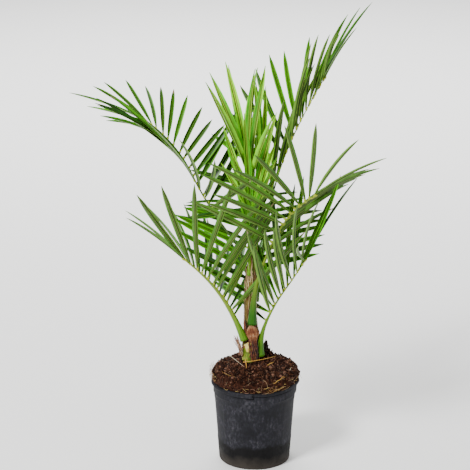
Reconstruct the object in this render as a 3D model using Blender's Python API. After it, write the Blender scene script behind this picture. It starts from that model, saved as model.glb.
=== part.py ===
"""A young date palm in a round nursery pot.

Metres, +Z up. The origin is the middle of the pot's flat underside and the
front of the plant faces -Y. Every frond is one closed body: a rib with two
ranks of folded leaflets united into it. Fronds, stem, root ball and pot are
separate bodies that keep a small gap to each other.
"""
import math
from collections import namedtuple

import bmesh
import bpy
from mathutils import Matrix, Vector
from mathutils.bvhtree import BVHTree

GAP = 0.0003
SMOOTH_DEGREES = 40.0

# Pot
POT_HEIGHT = 0.145
POT_BASE_RADIUS = 0.0618
POT_NECK_RADIUS = 0.0705
POT_COLLAR_RADIUS = 0.0717
POT_COLLAR_HEIGHT = 0.0155
POT_LIP_RADIUS = 0.0755
POT_LIP_HEIGHT = 0.0055
POT_WALL = 0.0016
POT_FLOOR = 0.0025
POT_FOOT_ROUND = 0.0022
POT_FOOT_STEPS = 3
POT_STEP = 0.0008
POT_LIP_ROUND = 0.0012
POT_SIDES = 44
DRAIN_COUNT = 6
DRAIN_RADIUS = 0.005
DRAIN_CIRCLE = 0.040
DRAIN_SIDES = 12
# nick at which the lip's overhang ends, the overhang that hangs down to its left
# and the flatter lip to its right
NICK_AZIMUTH = 268.0
NICK_INNER_RADIUS = 0.0712
NICK_REACH = 0.012
NICK_WIDTH = 0.006
NICK_DEPTH = 0.0036
SKIRT_AZIMUTH = 232.0
SKIRT_SPAN = 34.0
SKIRT_DROP = 0.0022
FLAT_AZIMUTH = 304.0
FLAT_SPAN = 28.0
FLAT_IN = 0.0022
# the rim is pushed outward on the right, less so at the foot of the collar
BULGE_AZIMUTH = 2.0
BULGE_SPAN = 16.0
BULGE_OUT = 0.0030
BULGE_FOOT_SHARE = 0.35

# Root ball
SOIL_INSET = POT_WALL + GAP + 0.0008
SOIL_LIP_CLEARANCE = 0.0009
SOIL_LIP_INSET = 0.0040
SOIL_SWELL = 0.0040
SOIL_SWELL_HEIGHTS = (0.0065, 0.0125)
SOIL_EDGE_Z = 0.1635
SOIL_EDGE_RADIUS = 0.0700
SOIL_TOP_Z = 0.1810
SOIL_FLAT_RADIUS = 0.027
SOIL_FALL = 1.2
SOIL_BACK_RISE = 0.002
SOIL_TOP_RINGS = (1.0, 0.86, 0.66, 0.46, 0.26, 0.0)
SOIL_SIDES = 36
# height or depth of a lump, lumps around and their first angle in degrees
SOIL_LUMPS = ((0.0016, 5, 34), (0.0012, 9, 110))
SOIL_RAGS = ((0.0012, 7, 0), (0.0009, 11, 50))
# broad lumps as (azimuth, span, out, rise): a shoulder that leans out over the lip
# on the right and a dip at the back on the left
SOIL_HILLS = ((4.0, 24.0, 0.0028, 0.0020), (165.0, 30.0, 0.0, -0.0035))

# Stem: its radius and how far to the right it stands, at equal steps of height
STEM_FOOT_Z = SOIL_TOP_Z + GAP
STEM_TOP_Z = 0.3354
# the youngest fronds stand on the stem's top
YOUNG_Z = STEM_TOP_Z + 2 * GAP
STEM_RADII = (0.0165, 0.0182, 0.0155, 0.0125, 0.0108, 0.0104, 0.0106, 0.0108, 0.0105)
STEM_DRIFT = (-0.0030, -0.0035, -0.0050, -0.0070, -0.0080, -0.0080, -0.0070, -0.0055, -0.0045)
STEM_SIDES = 28
STEM_RINGS = 22
STEM_CLEARANCE = 0.0009
STEM_REACH = 0.03

# Scraps of leaf base wrapped round the stem: radius and height go from the foot
# to the top, rounding is the share of the height that is lost at both sides of the
# peak and narrow the share of the width that is lost at the foot
Wrap = namedtuple("Wrap", "surface azimuths radii heights thickness rounding peak narrow")
WRAP_COLUMNS = 9
WRAP_ROWS = 4
WRAPS = {
    "cut_leaf_base": Wrap(
        "cut_leaf_base", (209, 284), (0.0200, 0.0180), (STEM_FOOT_Z, 0.2170), 0.0030, 0.33, 0.55, 0.0),
    "sheath_left": Wrap(
        "dry_leaf_sheath", (166, 207), (0.0188, 0.0252), (0.1990, 0.2240), 0.0012, 0.6, 0.5, 0.0),
    "sheath_right": Wrap(
        "stem_sheath", (10, 52), (0.0175, 0.0275), (0.1860, 0.2110), 0.0012, 0.7, 0.3, 0.0),
    "sheath_front": Wrap(
        "dry_leaf_sheath", (238, 318), (0.0150, 0.0170), (0.2135, 0.2490), 0.0011, 0.45, 0.45, 0.75),
}

# Ribs and leaflets
RIB_STEPS = 40
RIB_RINGS = 11
RIB_SIDES = 5
RIB_HALF_WIDTH = 0.0029
RIB_TIP_HALF_WIDTH = 0.0008
RIB_DEPTH_SHARE = 0.75
RIB_FOOT_DEPTH_SHARE = 0.98
RIB_RING_CROWDING = 1.25
RIB_TAPER = 0.8
LEAF_WANDER = 0.12
LEAF_WANDER_STEP = 2.4
LEAF_LAST_PLACE = 0.98
LEAF_SHORT_WIDTH = 0.55
LEAF_FULL_LENGTH = 0.14
LEAF_THICKNESS = 0.0018
LEAF_FOLD = 0.20
LEAF_BOW = 0.035
TIP_LEAF_SHARE = 0.985
TIP_LEAF_WIDTH = 0.8
TIP_LEAF_SHORTER = 0.7
# place along a leaflet and its share of the full width there
LEAF_OUTLINE = ((0.0, 0.30), (0.30, 1.0), (0.70, 0.76))
DODGE_MARGIN = 0.0008
# turn away from the rib, turn upward and share of the length
DODGES = tuple(
    (out * step, rise * step, share)
    for share in (1.0, 0.85, 0.7, 0.55)
    for step in (0, 1, 2, 3)
    for out, rise in ((4, 0), (-4, 0), (0, 5), (0, -5), (3, 4), (-3, 4), (3, -4), (-3, -4))
    if step or (out, rise) == (4, 0))

Rank = namedtuple("Rank", "count out rise length shift spread")
Frond = namedtuple("Frond", "root length heading lift roll bare stalk flare blade narrow left right")

# Fronds, in the order in which they take their room. heading is turned from +X
# towards +Y and lift is above level, both from the root to the tip. bare is the
# share of the rib without leaflets, stalk the width at the root and flare the
# length over which that width fades. blade is the full width of a leaflet and
# narrow the share of it that the last leaflets lose. In a rank, out is a leaflet's
# angle to the rib and rise its turn towards the upper face, from the lowest
# leaflet on, shift moves the whole rank along the rib by a share of the leaflets'
# spacing and a spread under one crowds them to the tip.
FRONDS = {
    "frond_right_front": Frond(
        root=(-0.0048, -0.0150, 0.2505), length=0.293, heading=(-56, -45, -26), lift=(89, 67, 59, 32),
        roll=-20, bare=0.50, stalk=0.0165, flare=0.050, blade=0.0104, narrow=0.30,
        left=Rank(9, (70, 57, 78, 78, 78, 49), (19, 21, 22, 19, 19, 10),
                  (0.143, 0.144, 0.176, 0.196, 0.176, 0.125), -0.23, 0.89),
        right=Rank(10, (86, 75, 90, 75, 53, 16), (40, 5, 37, 10, 54, 7),
                   (0.160, 0.142, 0.175, 0.155, 0.146, 0.165), 0.0, 0.65)),
    "frond_lower_left": Frond(
        root=(-0.0178, -0.0120, 0.220), length=0.197, heading=(158, 204, 218), lift=(69, 61, 48, 39),
        roll=21, bare=0.15, stalk=0.0152, flare=0.085, blade=0.0104, narrow=0.12,
        left=Rank(11, (71, 56, 63, 68, 32, 7), (69, 58, 45, 40, 36, 61),
                  (0.205, 0.199, 0.190, 0.200, 0.180, 0.165), -0.09, 0.90),
        right=Rank(11, (70, 88, 90, 82, 74, 50), (49, 57, 52, 62, 50, 29),
                   (0.200, 0.198, 0.165, 0.153, 0.153, 0.130), 0.12, 0.81)),
    "frond_lower_right": Frond(
        root=(0.0086, -0.0105, 0.192), length=0.194, heading=(11, -15, 14), lift=(93, 67, 56, 57),
        roll=15, bare=0.30, stalk=0.0182, flare=0.042, blade=0.0104, narrow=0.42,
        left=Rank(9, (91, 95, 54, 33, 23, 12), (30, 51, 58, 52, 53, 90),
                  (0.205, 0.220, 0.220, 0.174, 0.169, 0.160), 0.15, 1.09),
        right=Rank(8, (41, 48, 50, 59, 49, 92), (52, 60, 55, 56, 48, 43),
                   (0.165, 0.190, 0.165, 0.220, 0.200, 0.170), 0.90, 1.0)),
    "frond_upper_left": Frond(
        root=(-0.0145, 0.0070, 0.280), length=0.386, heading=(207, 176, 135), lift=(101, 54, 63, 16),
        roll=-15, bare=0.47, stalk=0.0095, flare=0.060, blade=0.0104, narrow=0.38,
        left=Rank(12, (87, 51, 33, 65, 66, 30), (66, 39, 6, 33, 21, 23),
                  (0.139, 0.157, 0.215, 0.225, 0.105, 0.150), -0.07, 0.97),
        right=Rank(13, (71, 56, 72, 52, 35, 0), (22, 55, 55, 25, -6, 16),
                   (0.165, 0.136, 0.080, 0.095, 0.112, 0.135), 0.0, 0.83)),
    "frond_upper_right": Frond(
        root=(0.0029, 0.0096, 0.283), length=0.417, heading=(32, 49, 43), lift=(85, 77, 54, 45),
        roll=-31, bare=0.37, stalk=0.0095, flare=0.060, blade=0.0104, narrow=0.42,
        left=Rank(13, (120, 68, 51, 33, -6, 22), (60, 44, 22, 58, 14, 25),
                  (0.165, 0.153, 0.215, 0.137, 0.205, 0.134), 0.05, 0.92),
        right=Rank(12, (10, -6, 24, 30, 12, 62), (100, 46, 55, 60, 48, 25),
                   (0.165, 0.180, 0.137, 0.132, 0.115, 0.092), -0.03, 0.70)),
    "frond_young_centre": Frond(
        root=(-0.0028, -0.0036, YOUNG_Z), length=0.221, heading=(184, 139, 106), lift=(90, 88, 87, 50),
        roll=-24, bare=0.69, stalk=0.0070, flare=0.200, blade=0.0125, narrow=0.0,
        left=Rank(5, (30, 22, 6, -37), (46, 33, 6, 47), (0.197, 0.175, 0.173, 0.179), -0.18, 1.0),
        right=Rank(6, (49, 14, 28, 24), (78, 39, 48, 23), (0.133, 0.175, 0.125, 0.144), 0.69, 1.11)),
    "frond_young_left": Frond(
        root=(-0.0102, -0.0088, YOUNG_Z), length=0.158, heading=(189, 175, 163), lift=(93, 92, 86, 75),
        roll=-68, bare=0.50, stalk=0.0070, flare=0.200, blade=0.0125, narrow=0.0,
        left=Rank(4, (10, 0, 21, 23), (2, 2, 31, 68), (0.211, 0.188, 0.095, 0.115), -1.18, 1.11),
        right=Rank(5, (23, 28, 13, -15), (66, 46, 29, 24), (0.135, 0.129, 0.170, 0.125), -1.21, 1.26)),
    "frond_young_right": Frond(
        root=(0.0022, 0.0044, YOUNG_Z), length=0.167, heading=(26, 50, 73), lift=(91, 93, 87, 73),
        roll=26, bare=0.40, stalk=0.0070, flare=0.200, blade=0.0125, narrow=0.0,
        left=Rank(4, (28, 16, 9, 12), (35, 24, 50, 41), (0.108, 0.119, 0.201, 0.140), 0.45, 0.73),
        right=Rank(4, (31, 8, 30, -2), (45, 49, 50, 1), (0.231, 0.168, 0.111, 0.173), -0.41, 1.49)),
    "frond_back": Frond(
        root=(-0.0070, 0.0122, 0.251), length=0.212, heading=(96, 97, 88), lift=(86, 73, 67, 40),
        roll=-15, bare=0.16, stalk=0.0070, flare=0.035, blade=0.0104, narrow=0.42,
        left=Rank(10, (70, 59, 74, 76), (57, 23, 7, -15), (0.146, 0.156, 0.115, 0.130), -0.06, 0.90),
        right=Rank(11, (82, 80, 81, 74), (61, 4, -12, -22), (0.129, 0.134, 0.133, 0.083), 0.21, 0.91)),
}

# colour as linear RGB, roughness
SURFACES = {
    "black_pot_plastic": ((0.026, 0.027, 0.029), 0.55),
    "peat_root_ball": ((0.060, 0.026, 0.014), 0.95),
    "stem_sheath": ((0.130, 0.085, 0.040), 0.85),
    "cut_leaf_base": ((0.330, 0.290, 0.110), 0.70),
    "dry_leaf_sheath": ((0.210, 0.095, 0.055), 0.90),
    "palm_leaf_green": ((0.070, 0.160, 0.045), 0.45),
    "young_palm_leaf_green": ((0.150, 0.290, 0.060), 0.45),
}


def material(name, colour, roughness):
    made = bpy.data.materials.new(name)
    made.use_nodes = True
    shader = made.node_tree.nodes["Principled BSDF"]
    shader.inputs["Base Color"].default_value = (*colour, 1.0)
    shader.inputs["Roughness"].default_value = roughness
    shader.inputs["Metallic"].default_value = 0.0
    made.diffuse_color = (*colour, 1.0)
    return made


def add_object(name, bm, surface):
    """Close off a bmesh as a named object with one material."""
    bmesh.ops.recalc_face_normals(bm, faces=bm.faces)
    mesh = bpy.data.meshes.new(name)
    bm.to_mesh(mesh)
    bm.free()
    made = bpy.data.objects.new(name, mesh)
    bpy.context.scene.collection.objects.link(made)
    mesh.materials.append(surface)
    shade(made)
    return made


def shade(made):
    """Smooth shading with the creases kept."""
    made.data.shade_smooth()
    made.data.set_sharp_from_angle(angle=math.radians(SMOOTH_DEGREES))


def remove_object(gone):
    mesh = gone.data
    bpy.data.objects.remove(gone, do_unlink=True)
    bpy.data.meshes.remove(mesh)


def blend(values, share):
    """Straight-line blend through evenly spaced values."""
    place = min(max(share, 0.0), 1.0) * (len(values) - 1)
    index = min(int(place), len(values) - 2)
    return values[index] + (values[index + 1] - values[index]) * (place - index)


def polar(radius, azimuth, height, centre=Vector((0.0, 0.0, 0.0))):
    turn = math.radians(azimuth)
    return centre + Vector((radius * math.cos(turn), radius * math.sin(turn), height))


def lathe(bm, profile, sides, centre=Vector((0.0, 0.0, 0.0))):
    """Turn an open profile of (radius, height) into a body with capped ends."""
    rings = []
    for radius, height in profile:
        ring = [bm.verts.new(polar(radius, 360.0 * i / sides, height, centre)) for i in range(sides)]
        rings.append(ring)
    join_rings(bm, rings)


def join_rings(bm, rings):
    """Close a stack of rings into one body."""
    for lower, upper in zip(rings, rings[1:]):
        for i in range(len(lower)):
            j = (i + 1) % len(lower)
            bm.faces.new((lower[i], lower[j], upper[j], upper[i]))
    bm.faces.new(list(reversed(rings[0])))
    bm.faces.new(rings[-1])


def cut(target, cutter_bm):
    """Take a cutter's volume away from an object."""
    cutter = add_object("cutter", cutter_bm, target.data.materials[0])
    cutter.hide_render = True
    cutter.display_type = "WIRE"
    step = target.modifiers.new("cut", "BOOLEAN")
    step.operation = "DIFFERENCE"
    step.object = cutter
    apply_modifiers(target)
    remove_object(cutter)


def apply_modifiers(target):
    graph = bpy.context.evaluated_depsgraph_get()
    done = bpy.data.meshes.new_from_object(target.evaluated_get(graph))
    old = target.data
    target.modifiers.clear()
    target.data = done
    bpy.data.meshes.remove(old)


def make_pot(surface):
    """Thin tapered shell with a collar, a rolled lip, a rounded foot and drain holes."""
    lip_z = POT_HEIGHT - POT_LIP_HEIGHT
    collar_z = lip_z - POT_COLLAR_HEIGHT
    outer = [(POT_BASE_RADIUS - POT_FOOT_ROUND, 0.0)]
    for step in range(1, POT_FOOT_STEPS + 1):
        turn = math.pi / 2 * step / POT_FOOT_STEPS
        outer.append((POT_BASE_RADIUS - POT_FOOT_ROUND * (1 - math.sin(turn)),
                      POT_FOOT_ROUND * (1 - math.cos(turn))))
    outer += [
        (POT_NECK_RADIUS, collar_z - POT_STEP),
        (POT_COLLAR_RADIUS, collar_z + POT_STEP),
        (POT_COLLAR_RADIUS, lip_z - POT_LIP_ROUND),
        (POT_LIP_RADIUS - POT_LIP_ROUND, lip_z),
        (POT_LIP_RADIUS, lip_z + 2 * POT_LIP_ROUND),
        (POT_LIP_RADIUS - POT_LIP_ROUND / 2, POT_HEIGHT - POT_LIP_ROUND),
        (POT_LIP_RADIUS - POT_LIP_ROUND * 1.5, POT_HEIGHT)]
    inner = [
        (POT_COLLAR_RADIUS - POT_WALL, POT_HEIGHT),
        (POT_COLLAR_RADIUS - POT_WALL, collar_z + POT_STEP),
        (POT_NECK_RADIUS - POT_WALL, collar_z - POT_STEP),
        (POT_BASE_RADIUS - POT_WALL, POT_FLOOR)]
    bm = bmesh.new()
    lathe(bm, outer + inner, POT_SIDES)
    for vert in bm.verts:
        azimuth = math.degrees(math.atan2(vert.co.y, vert.co.x))
        out = 0.0
        if vert.co.z > collar_z:
            up = (vert.co.z - collar_z) / (POT_HEIGHT - collar_z)
            share = BULGE_FOOT_SHARE + (1 - BULGE_FOOT_SHARE) * up
            out = BULGE_OUT * share * hill(azimuth, BULGE_AZIMUTH, BULGE_SPAN)
        if vert.co.z >= lip_z and vert.co.xy.length > POT_COLLAR_RADIUS:
            out -= FLAT_IN * hill(azimuth, FLAT_AZIMUTH, FLAT_SPAN)
            if vert.co.z < lip_z + POT_LIP_ROUND:
                vert.co.z -= SKIRT_DROP * hill(azimuth, SKIRT_AZIMUTH, SKIRT_SPAN)
        vert.co.xy *= 1 + out / max(vert.co.xy.length, POT_BASE_RADIUS)
    pot = add_object("pot", bm, surface)
    for i in range(DRAIN_COUNT):
        bm = bmesh.new()
        at = polar(DRAIN_CIRCLE, 360.0 * i / DRAIN_COUNT, 0.0)
        lathe(bm, ((DRAIN_RADIUS, -POT_FLOOR), (DRAIN_RADIUS, POT_FLOOR * 2)), DRAIN_SIDES, at)
        cut(pot, bm)
    bm = bmesh.new()
    size = (NICK_REACH, NICK_WIDTH, NICK_DEPTH * 2, 1.0)
    place = Matrix.Translation(polar(NICK_INNER_RADIUS + NICK_REACH / 2, NICK_AZIMUTH, lip_z))
    turn = Matrix.Rotation(math.radians(NICK_AZIMUTH), 4, "Z")
    bmesh.ops.create_cube(bm, size=1.0, matrix=place @ turn @ Matrix.Diagonal(size))
    cut(pot, bm)
    shade(pot)


def hill(azimuth, middle, span):
    """Smooth rise to one around a direction."""
    away = (azimuth - middle + 180.0) % 360.0 - 180.0
    return math.exp(-(away / span) ** 2)


def waves(table, azimuth):
    """Sum of the waves of a table of (size, count around, first angle)."""
    return sum(size * math.sin(math.radians(count * azimuth + first)) for size, count, first in table)


def soil_height(radius, azimuth):
    """Height of the root ball's crown at a place, level around the stem."""
    share = (radius - SOIL_FLAT_RADIUS) / (SOIL_EDGE_RADIUS - SOIL_FLAT_RADIUS)
    fall = (SOIL_EDGE_Z - SOIL_TOP_Z) * share ** SOIL_FALL
    behind = SOIL_BACK_RISE * max(math.sin(math.radians(azimuth)), 0.0)
    lumps = sum(rise * hill(azimuth, middle, span) for middle, span, _, rise in SOIL_HILLS)
    return SOIL_TOP_Z + fall + (behind + lumps + waves(SOIL_LUMPS, azimuth)) * share


def soil_lean(azimuth):
    """How far the root ball's edge leans out in a direction."""
    return sum(out * hill(azimuth, middle, span) for middle, span, out, _ in SOIL_HILLS)


def make_soil(surface):
    """Root ball that fills the pot and stands above its lip."""
    collar_z = POT_HEIGHT - POT_LIP_HEIGHT - POT_COLLAR_HEIGHT
    lip_clear_z = POT_HEIGHT + SOIL_LIP_CLEARANCE
    walls = [
        (POT_BASE_RADIUS - SOIL_INSET, POT_FLOOR + GAP),
        (POT_NECK_RADIUS - SOIL_INSET, collar_z - 2 * POT_STEP),
        (POT_COLLAR_RADIUS - SOIL_INSET, collar_z + 2 * POT_STEP),
        (POT_COLLAR_RADIUS - SOIL_INSET, lip_clear_z),
        (POT_LIP_RADIUS - SOIL_LIP_INSET, lip_clear_z)]
    walls += [(SOIL_EDGE_RADIUS + SOIL_SWELL, POT_HEIGHT + height) for height in SOIL_SWELL_HEIGHTS]
    bm = bmesh.new()
    rings = []
    for radius, height in walls:
        free = 1.0 if height > lip_clear_z else 0.0
        ring = []
        for i in range(SOIL_SIDES):
            azimuth = 360.0 * i / SOIL_SIDES
            out = waves(SOIL_RAGS, azimuth) + soil_lean(azimuth)
            ring.append(bm.verts.new(polar(radius + out * free, azimuth, height)))
        rings.append(ring)
    for share in SOIL_TOP_RINGS:
        radius = SOIL_FLAT_RADIUS + (SOIL_EDGE_RADIUS - SOIL_FLAT_RADIUS) * share
        ring = []
        for i in range(SOIL_SIDES):
            azimuth = 360.0 * i / SOIL_SIDES
            out = soil_lean(azimuth) * share
            ring.append(bm.verts.new(polar(radius + out, azimuth, soil_height(radius, azimuth))))
        rings.append(ring)
    join_rings(bm, rings)
    add_object("root_ball", bm, surface)


class Rib:
    """Centre line of a frond and the directions that its leaflets start from."""

    def __init__(self, frond):
        self.frond = frond
        self.points = [Vector(frond.root)]
        for i in range(RIB_STEPS):
            along = self.directions((i + 0.5) / RIB_STEPS)[0]
            self.points.append(self.points[-1] + along * (frond.length / RIB_STEPS))

    def directions(self, share):
        """Along the rib, to its left and out of its upper face."""
        heading = math.radians(blend(self.frond.heading, share))
        lift = math.radians(blend(self.frond.lift, share))
        along = polar(math.cos(lift), math.degrees(heading), math.sin(lift))
        left = Vector((-math.sin(heading), math.cos(heading), 0.0))
        turn = Matrix.Rotation(math.radians(self.frond.roll), 3, along)
        return along, turn @ left, turn @ along.cross(left)

    def point(self, share):
        place = min(max(share, 0.0), 1.0) * RIB_STEPS
        index = min(int(place), RIB_STEPS - 1)
        return self.points[index].lerp(self.points[index + 1], place - index)

    def flare(self, share):
        """One at the foot of the stalk, fading upward."""
        return math.exp(-share * self.frond.length / self.frond.flare)

    def half_width(self, share):
        slim = RIB_TIP_HALF_WIDTH + (RIB_HALF_WIDTH - RIB_TIP_HALF_WIDTH) * (1 - share) ** RIB_TAPER
        return slim + (self.frond.stalk / 2 - slim) * self.flare(share)

    def depth_share(self, share):
        """Depth for a width of one: the stalk's foot is nearly round."""
        return RIB_DEPTH_SHARE + (RIB_FOOT_DEPTH_SHARE - RIB_DEPTH_SHARE) * self.flare(share)

    def build(self, bm, grow=0.0):
        rings = []
        for i in range(RIB_RINGS + 1):
            share = (i / RIB_RINGS) ** RIB_RING_CROWDING
            along, left, up = self.directions(share)
            wide = self.half_width(share) + grow
            deep = self.half_width(share) * self.depth_share(share) + grow
            ring = []
            for k in range(RIB_SIDES):
                turn = 2 * math.pi * k / RIB_SIDES
                offset = left * (wide * math.cos(turn)) + up * (deep * math.sin(turn))
                ring.append(bm.verts.new(self.point(share) + offset))
            rings.append(ring)
        join_rings(bm, rings)


Leaflet = namedtuple("Leaflet", "base along across up length width")


def planned_leaflets(rib, name):
    """Every leaflet of a frond as (place on the rib, side, rank, share of the rank)."""
    frond = rib.frond
    planned = []
    for side, rank in ((1, frond.left), (-1, frond.right)):
        for i in range(rank.count):
            rank_share = (i + 0.5) / rank.count
            wander = LEAF_WANDER * math.sin(i * LEAF_WANDER_STEP + side + len(name)) + rank.shift
            place = min(max((i + 0.5 + wander) / rank.count, 0.0), LEAF_LAST_PLACE)
            share = frond.bare + (1 - frond.bare) * place ** rank.spread
            planned.append((share, side, rank, rank_share))
    return planned


def leaflet_at(rib, share, side, rank, rank_share, dodge):
    """A leaflet's own directions once it has turned by a dodge."""
    turn_out, turn_up, shorter = dodge
    along, left, up = rib.directions(share)
    out = math.radians(blend(rank.out, rank_share) + turn_out)
    rise = math.radians(blend(rank.rise, rank_share) + turn_up)
    sideways = left * (side * math.cos(rise)) + up * math.sin(rise)
    direction = along * math.cos(out) + sideways * math.sin(out)
    across = along * math.sin(out) - sideways * math.cos(out)
    normal = direction.cross(across) * -side
    length = blend(rank.length, rank_share) * shorter
    width = min(1.0, LEAF_SHORT_WIDTH + (1 - LEAF_SHORT_WIDTH) * length / LEAF_FULL_LENGTH)
    width *= 1 - rib.frond.narrow * rank_share ** 2
    return Leaflet(rib.point(share), direction, across, normal, length, rib.frond.blade * width)


def tip_leaflet(rib):
    """The last leaflet, which carries the rib's line on."""
    along, left, up = rib.directions(1.0)
    length = (rib.frond.left.length[-1] + rib.frond.right.length[-1]) / 2
    width = TIP_LEAF_WIDTH * (1 - rib.frond.narrow / 2)
    return Leaflet(rib.point(TIP_LEAF_SHARE), along, left, up, length, rib.frond.blade * width)


def build_leaflet(bm, leaflet, grow=0.0):
    """A folded blade: four corners at each place along it and a pointed tip."""
    rings = []
    for place, share in LEAF_OUTLINE:
        half = leaflet.width * share / 2
        thick = LEAF_THICKNESS / 2 + grow
        middle = leaflet.base + leaflet.along * (leaflet.length * place)
        middle += leaflet.up * (leaflet.length * LEAF_BOW * 4 * place * (1 - place))
        fold = leaflet.up * (-2 * half * LEAF_FOLD)
        ring = [
            middle + leaflet.across * (half + grow),
            middle + fold + leaflet.up * thick,
            middle - leaflet.across * (half + grow),
            middle + fold - leaflet.up * thick]
        rings.append([bm.verts.new(corner) for corner in ring])
    for lower, upper in zip(rings, rings[1:]):
        for i in range(4):
            j = (i + 1) % 4
            bm.faces.new((lower[i], lower[j], upper[j], upper[i]))
    tip = bm.verts.new(leaflet.base + leaflet.along * (leaflet.length + grow))
    for i in range(4):
        bm.faces.new((rings[-1][i], rings[-1][(i + 1) % 4], tip))
    bm.faces.new(list(reversed(rings[0])))


def tree_of(build, grow=0.0):
    """Search tree of what a build function adds to a bmesh."""
    bm = bmesh.new()
    build(bm, grow)
    bmesh.ops.triangulate(bm, faces=bm.faces)
    tree = BVHTree.FromBMesh(bm)
    bm.free()
    return tree


def plan_leaflets(ribs, obstacles):
    """Choose for every leaflet the first turn that keeps it clear of other bodies."""
    taken = [("", tree) for tree in obstacles]
    taken += [(name, tree_of(rib.build)) for name, rib in ribs.items()]
    plans = {}
    for name, rib in ribs.items():
        plan = []
        tip = tip_leaflet(rib)
        choices = [[tip, tip._replace(length=tip.length * TIP_LEAF_SHORTER)]]
        for planned in reversed(planned_leaflets(rib, name)):
            choices.append([leaflet_at(rib, *planned, dodge) for dodge in DODGES])
        others = [tree for owner, tree in taken if owner != name]
        for tries in choices:
            for leaflet in tries:
                tree = tree_of(lambda bm, grow: build_leaflet(bm, leaflet, grow), DODGE_MARGIN)
                if not any(tree.overlap(other) for other in others):
                    plan.append(leaflet)
                    taken.append((name, tree_of(lambda bm, grow: build_leaflet(bm, leaflet, grow))))
                    break
        plans[name] = plan
    return plans


def keep_largest_body(target):
    """Drop loose scraps that a union has left beside the body."""
    bm = bmesh.new()
    bm.from_mesh(target.data)
    unseen = set(bm.verts)
    bodies = []
    while unseen:
        body = set()
        edge = [unseen.pop()]
        while edge:
            vert = edge.pop()
            body.add(vert)
            for link in vert.link_edges:
                other = link.other_vert(vert)
                if other in unseen:
                    unseen.remove(other)
                    edge.append(other)
        bodies.append(body)
    largest = max(bodies, key=len)
    bmesh.ops.delete(bm, geom=[v for v in bm.verts if v not in largest], context="VERTS")
    bm.to_mesh(target.data)
    bm.free()


def make_frond(name, rib, plan, surface):
    """Unite a rib with its leaflets in one Boolean union."""
    bm = bmesh.new()
    rib.build(bm)
    frond = add_object(name, bm, surface)
    group = bpy.data.collections.new(name + "_leaflets")
    bpy.context.scene.collection.children.link(group)
    for leaflet in plan:
        bm = bmesh.new()
        build_leaflet(bm, leaflet)
        piece = add_object("leaflet", bm, surface)
        bpy.context.scene.collection.objects.unlink(piece)
        group.objects.link(piece)
    step = frond.modifiers.new("unite", "BOOLEAN")
    step.operation = "UNION"
    step.operand_type = "COLLECTION"
    step.collection = group
    apply_modifiers(frond)
    for piece in list(group.objects):
        remove_object(piece)
    bpy.data.collections.remove(group)
    keep_largest_body(frond)
    shade(frond)


def stem_centre(height):
    """Point on the floor below the stem's middle at a height."""
    share = (height - STEM_FOOT_Z) / (STEM_TOP_Z - STEM_FOOT_Z)
    return Vector((blend(STEM_DRIFT, share), 0.0, 0.0))


def wrap_azimuth(wrap, side, up):
    """Direction of a place on a scrap, whose foot may be narrower than its top."""
    return blend(wrap.azimuths, 0.5 + (side - 0.5) * (1 - wrap.narrow * (1 - up)))


def wrap_crown(wrap, side):
    """Share of the full height that a scrap reaches at a place across it."""
    away = (side - wrap.peak) / (wrap.peak if side < wrap.peak else 1 - wrap.peak)
    return 1 - wrap.rounding * away ** 2


def make_wrap(name, wrap, surface):
    """A curved scrap of even thickness with a rounded top."""
    bm = bmesh.new()
    layers = []
    for layer in (0.0, wrap.thickness):
        grid = []
        for r in range(WRAP_ROWS):
            up = r / (WRAP_ROWS - 1)
            line = []
            for c in range(WRAP_COLUMNS):
                side = c / (WRAP_COLUMNS - 1)
                height = blend(wrap.heights, up * wrap_crown(wrap, side))
                radius = blend(wrap.radii, up) + layer
                centre = stem_centre(height)
                azimuth = wrap_azimuth(wrap, side, up)
                line.append(bm.verts.new(polar(radius, azimuth, height, centre)))
            grid.append(line)
        layers.append(grid)
    inside, outside = layers
    for r in range(WRAP_ROWS - 1):
        for c in range(WRAP_COLUMNS - 1):
            bm.faces.new((outside[r][c], outside[r][c + 1], outside[r + 1][c + 1], outside[r + 1][c]))
            bm.faces.new((inside[r][c], inside[r + 1][c], inside[r + 1][c + 1], inside[r][c + 1]))
    for c in range(WRAP_COLUMNS - 1):
        bm.faces.new((inside[0][c], inside[0][c + 1], outside[0][c + 1], outside[0][c]))
        bm.faces.new((inside[-1][c + 1], inside[-1][c], outside[-1][c], outside[-1][c + 1]))
    for r in range(WRAP_ROWS - 1):
        bm.faces.new((inside[r + 1][0], inside[r][0], outside[r][0], outside[r + 1][0]))
        bm.faces.new((inside[r][-1], inside[r + 1][-1], outside[r + 1][-1], outside[r][-1]))
    return add_object(name, bm, surface)


def tree_of_object(made):
    bm = bmesh.new()
    bm.from_mesh(made.data)
    tree = BVHTree.FromBMesh(bm)
    bm.free()
    return tree


def make_stem(surface, trees):
    """Stem that swells at its foot and is pressed in wherever a stalk lies on it."""
    ring_gap = (STEM_TOP_Z - STEM_FOOT_Z) / STEM_RINGS
    side_gap = 360.0 / STEM_SIDES
    around = [
        (up * ring_gap / 3, turn * side_gap / 2)
        for up in (-3, -2, -1, 0, 1, 2, 3) for turn in (-2, -1, 0, 1, 2)]
    bm = bmesh.new()
    rings = []
    for r in range(STEM_RINGS + 1):
        height = STEM_FOOT_Z + ring_gap * r
        ring = []
        for i in range(STEM_SIDES):
            radius = blend(STEM_RADII, r / STEM_RINGS)
            for up, turn in around:
                out = polar(1.0, side_gap * i + turn, 0.0)
                start = polar(0.0, 0.0, min(height + up, STEM_TOP_Z), stem_centre(height))
                for tree in trees:
                    distance = tree.ray_cast(start, out, STEM_REACH)[3]
                    if distance is not None:
                        radius = min(radius, distance - STEM_CLEARANCE)
            ring.append(bm.verts.new(polar(radius, side_gap * i, height, stem_centre(height))))
        rings.append(ring)
    join_rings(bm, rings)
    return add_object("stem", bm, surface)


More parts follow.
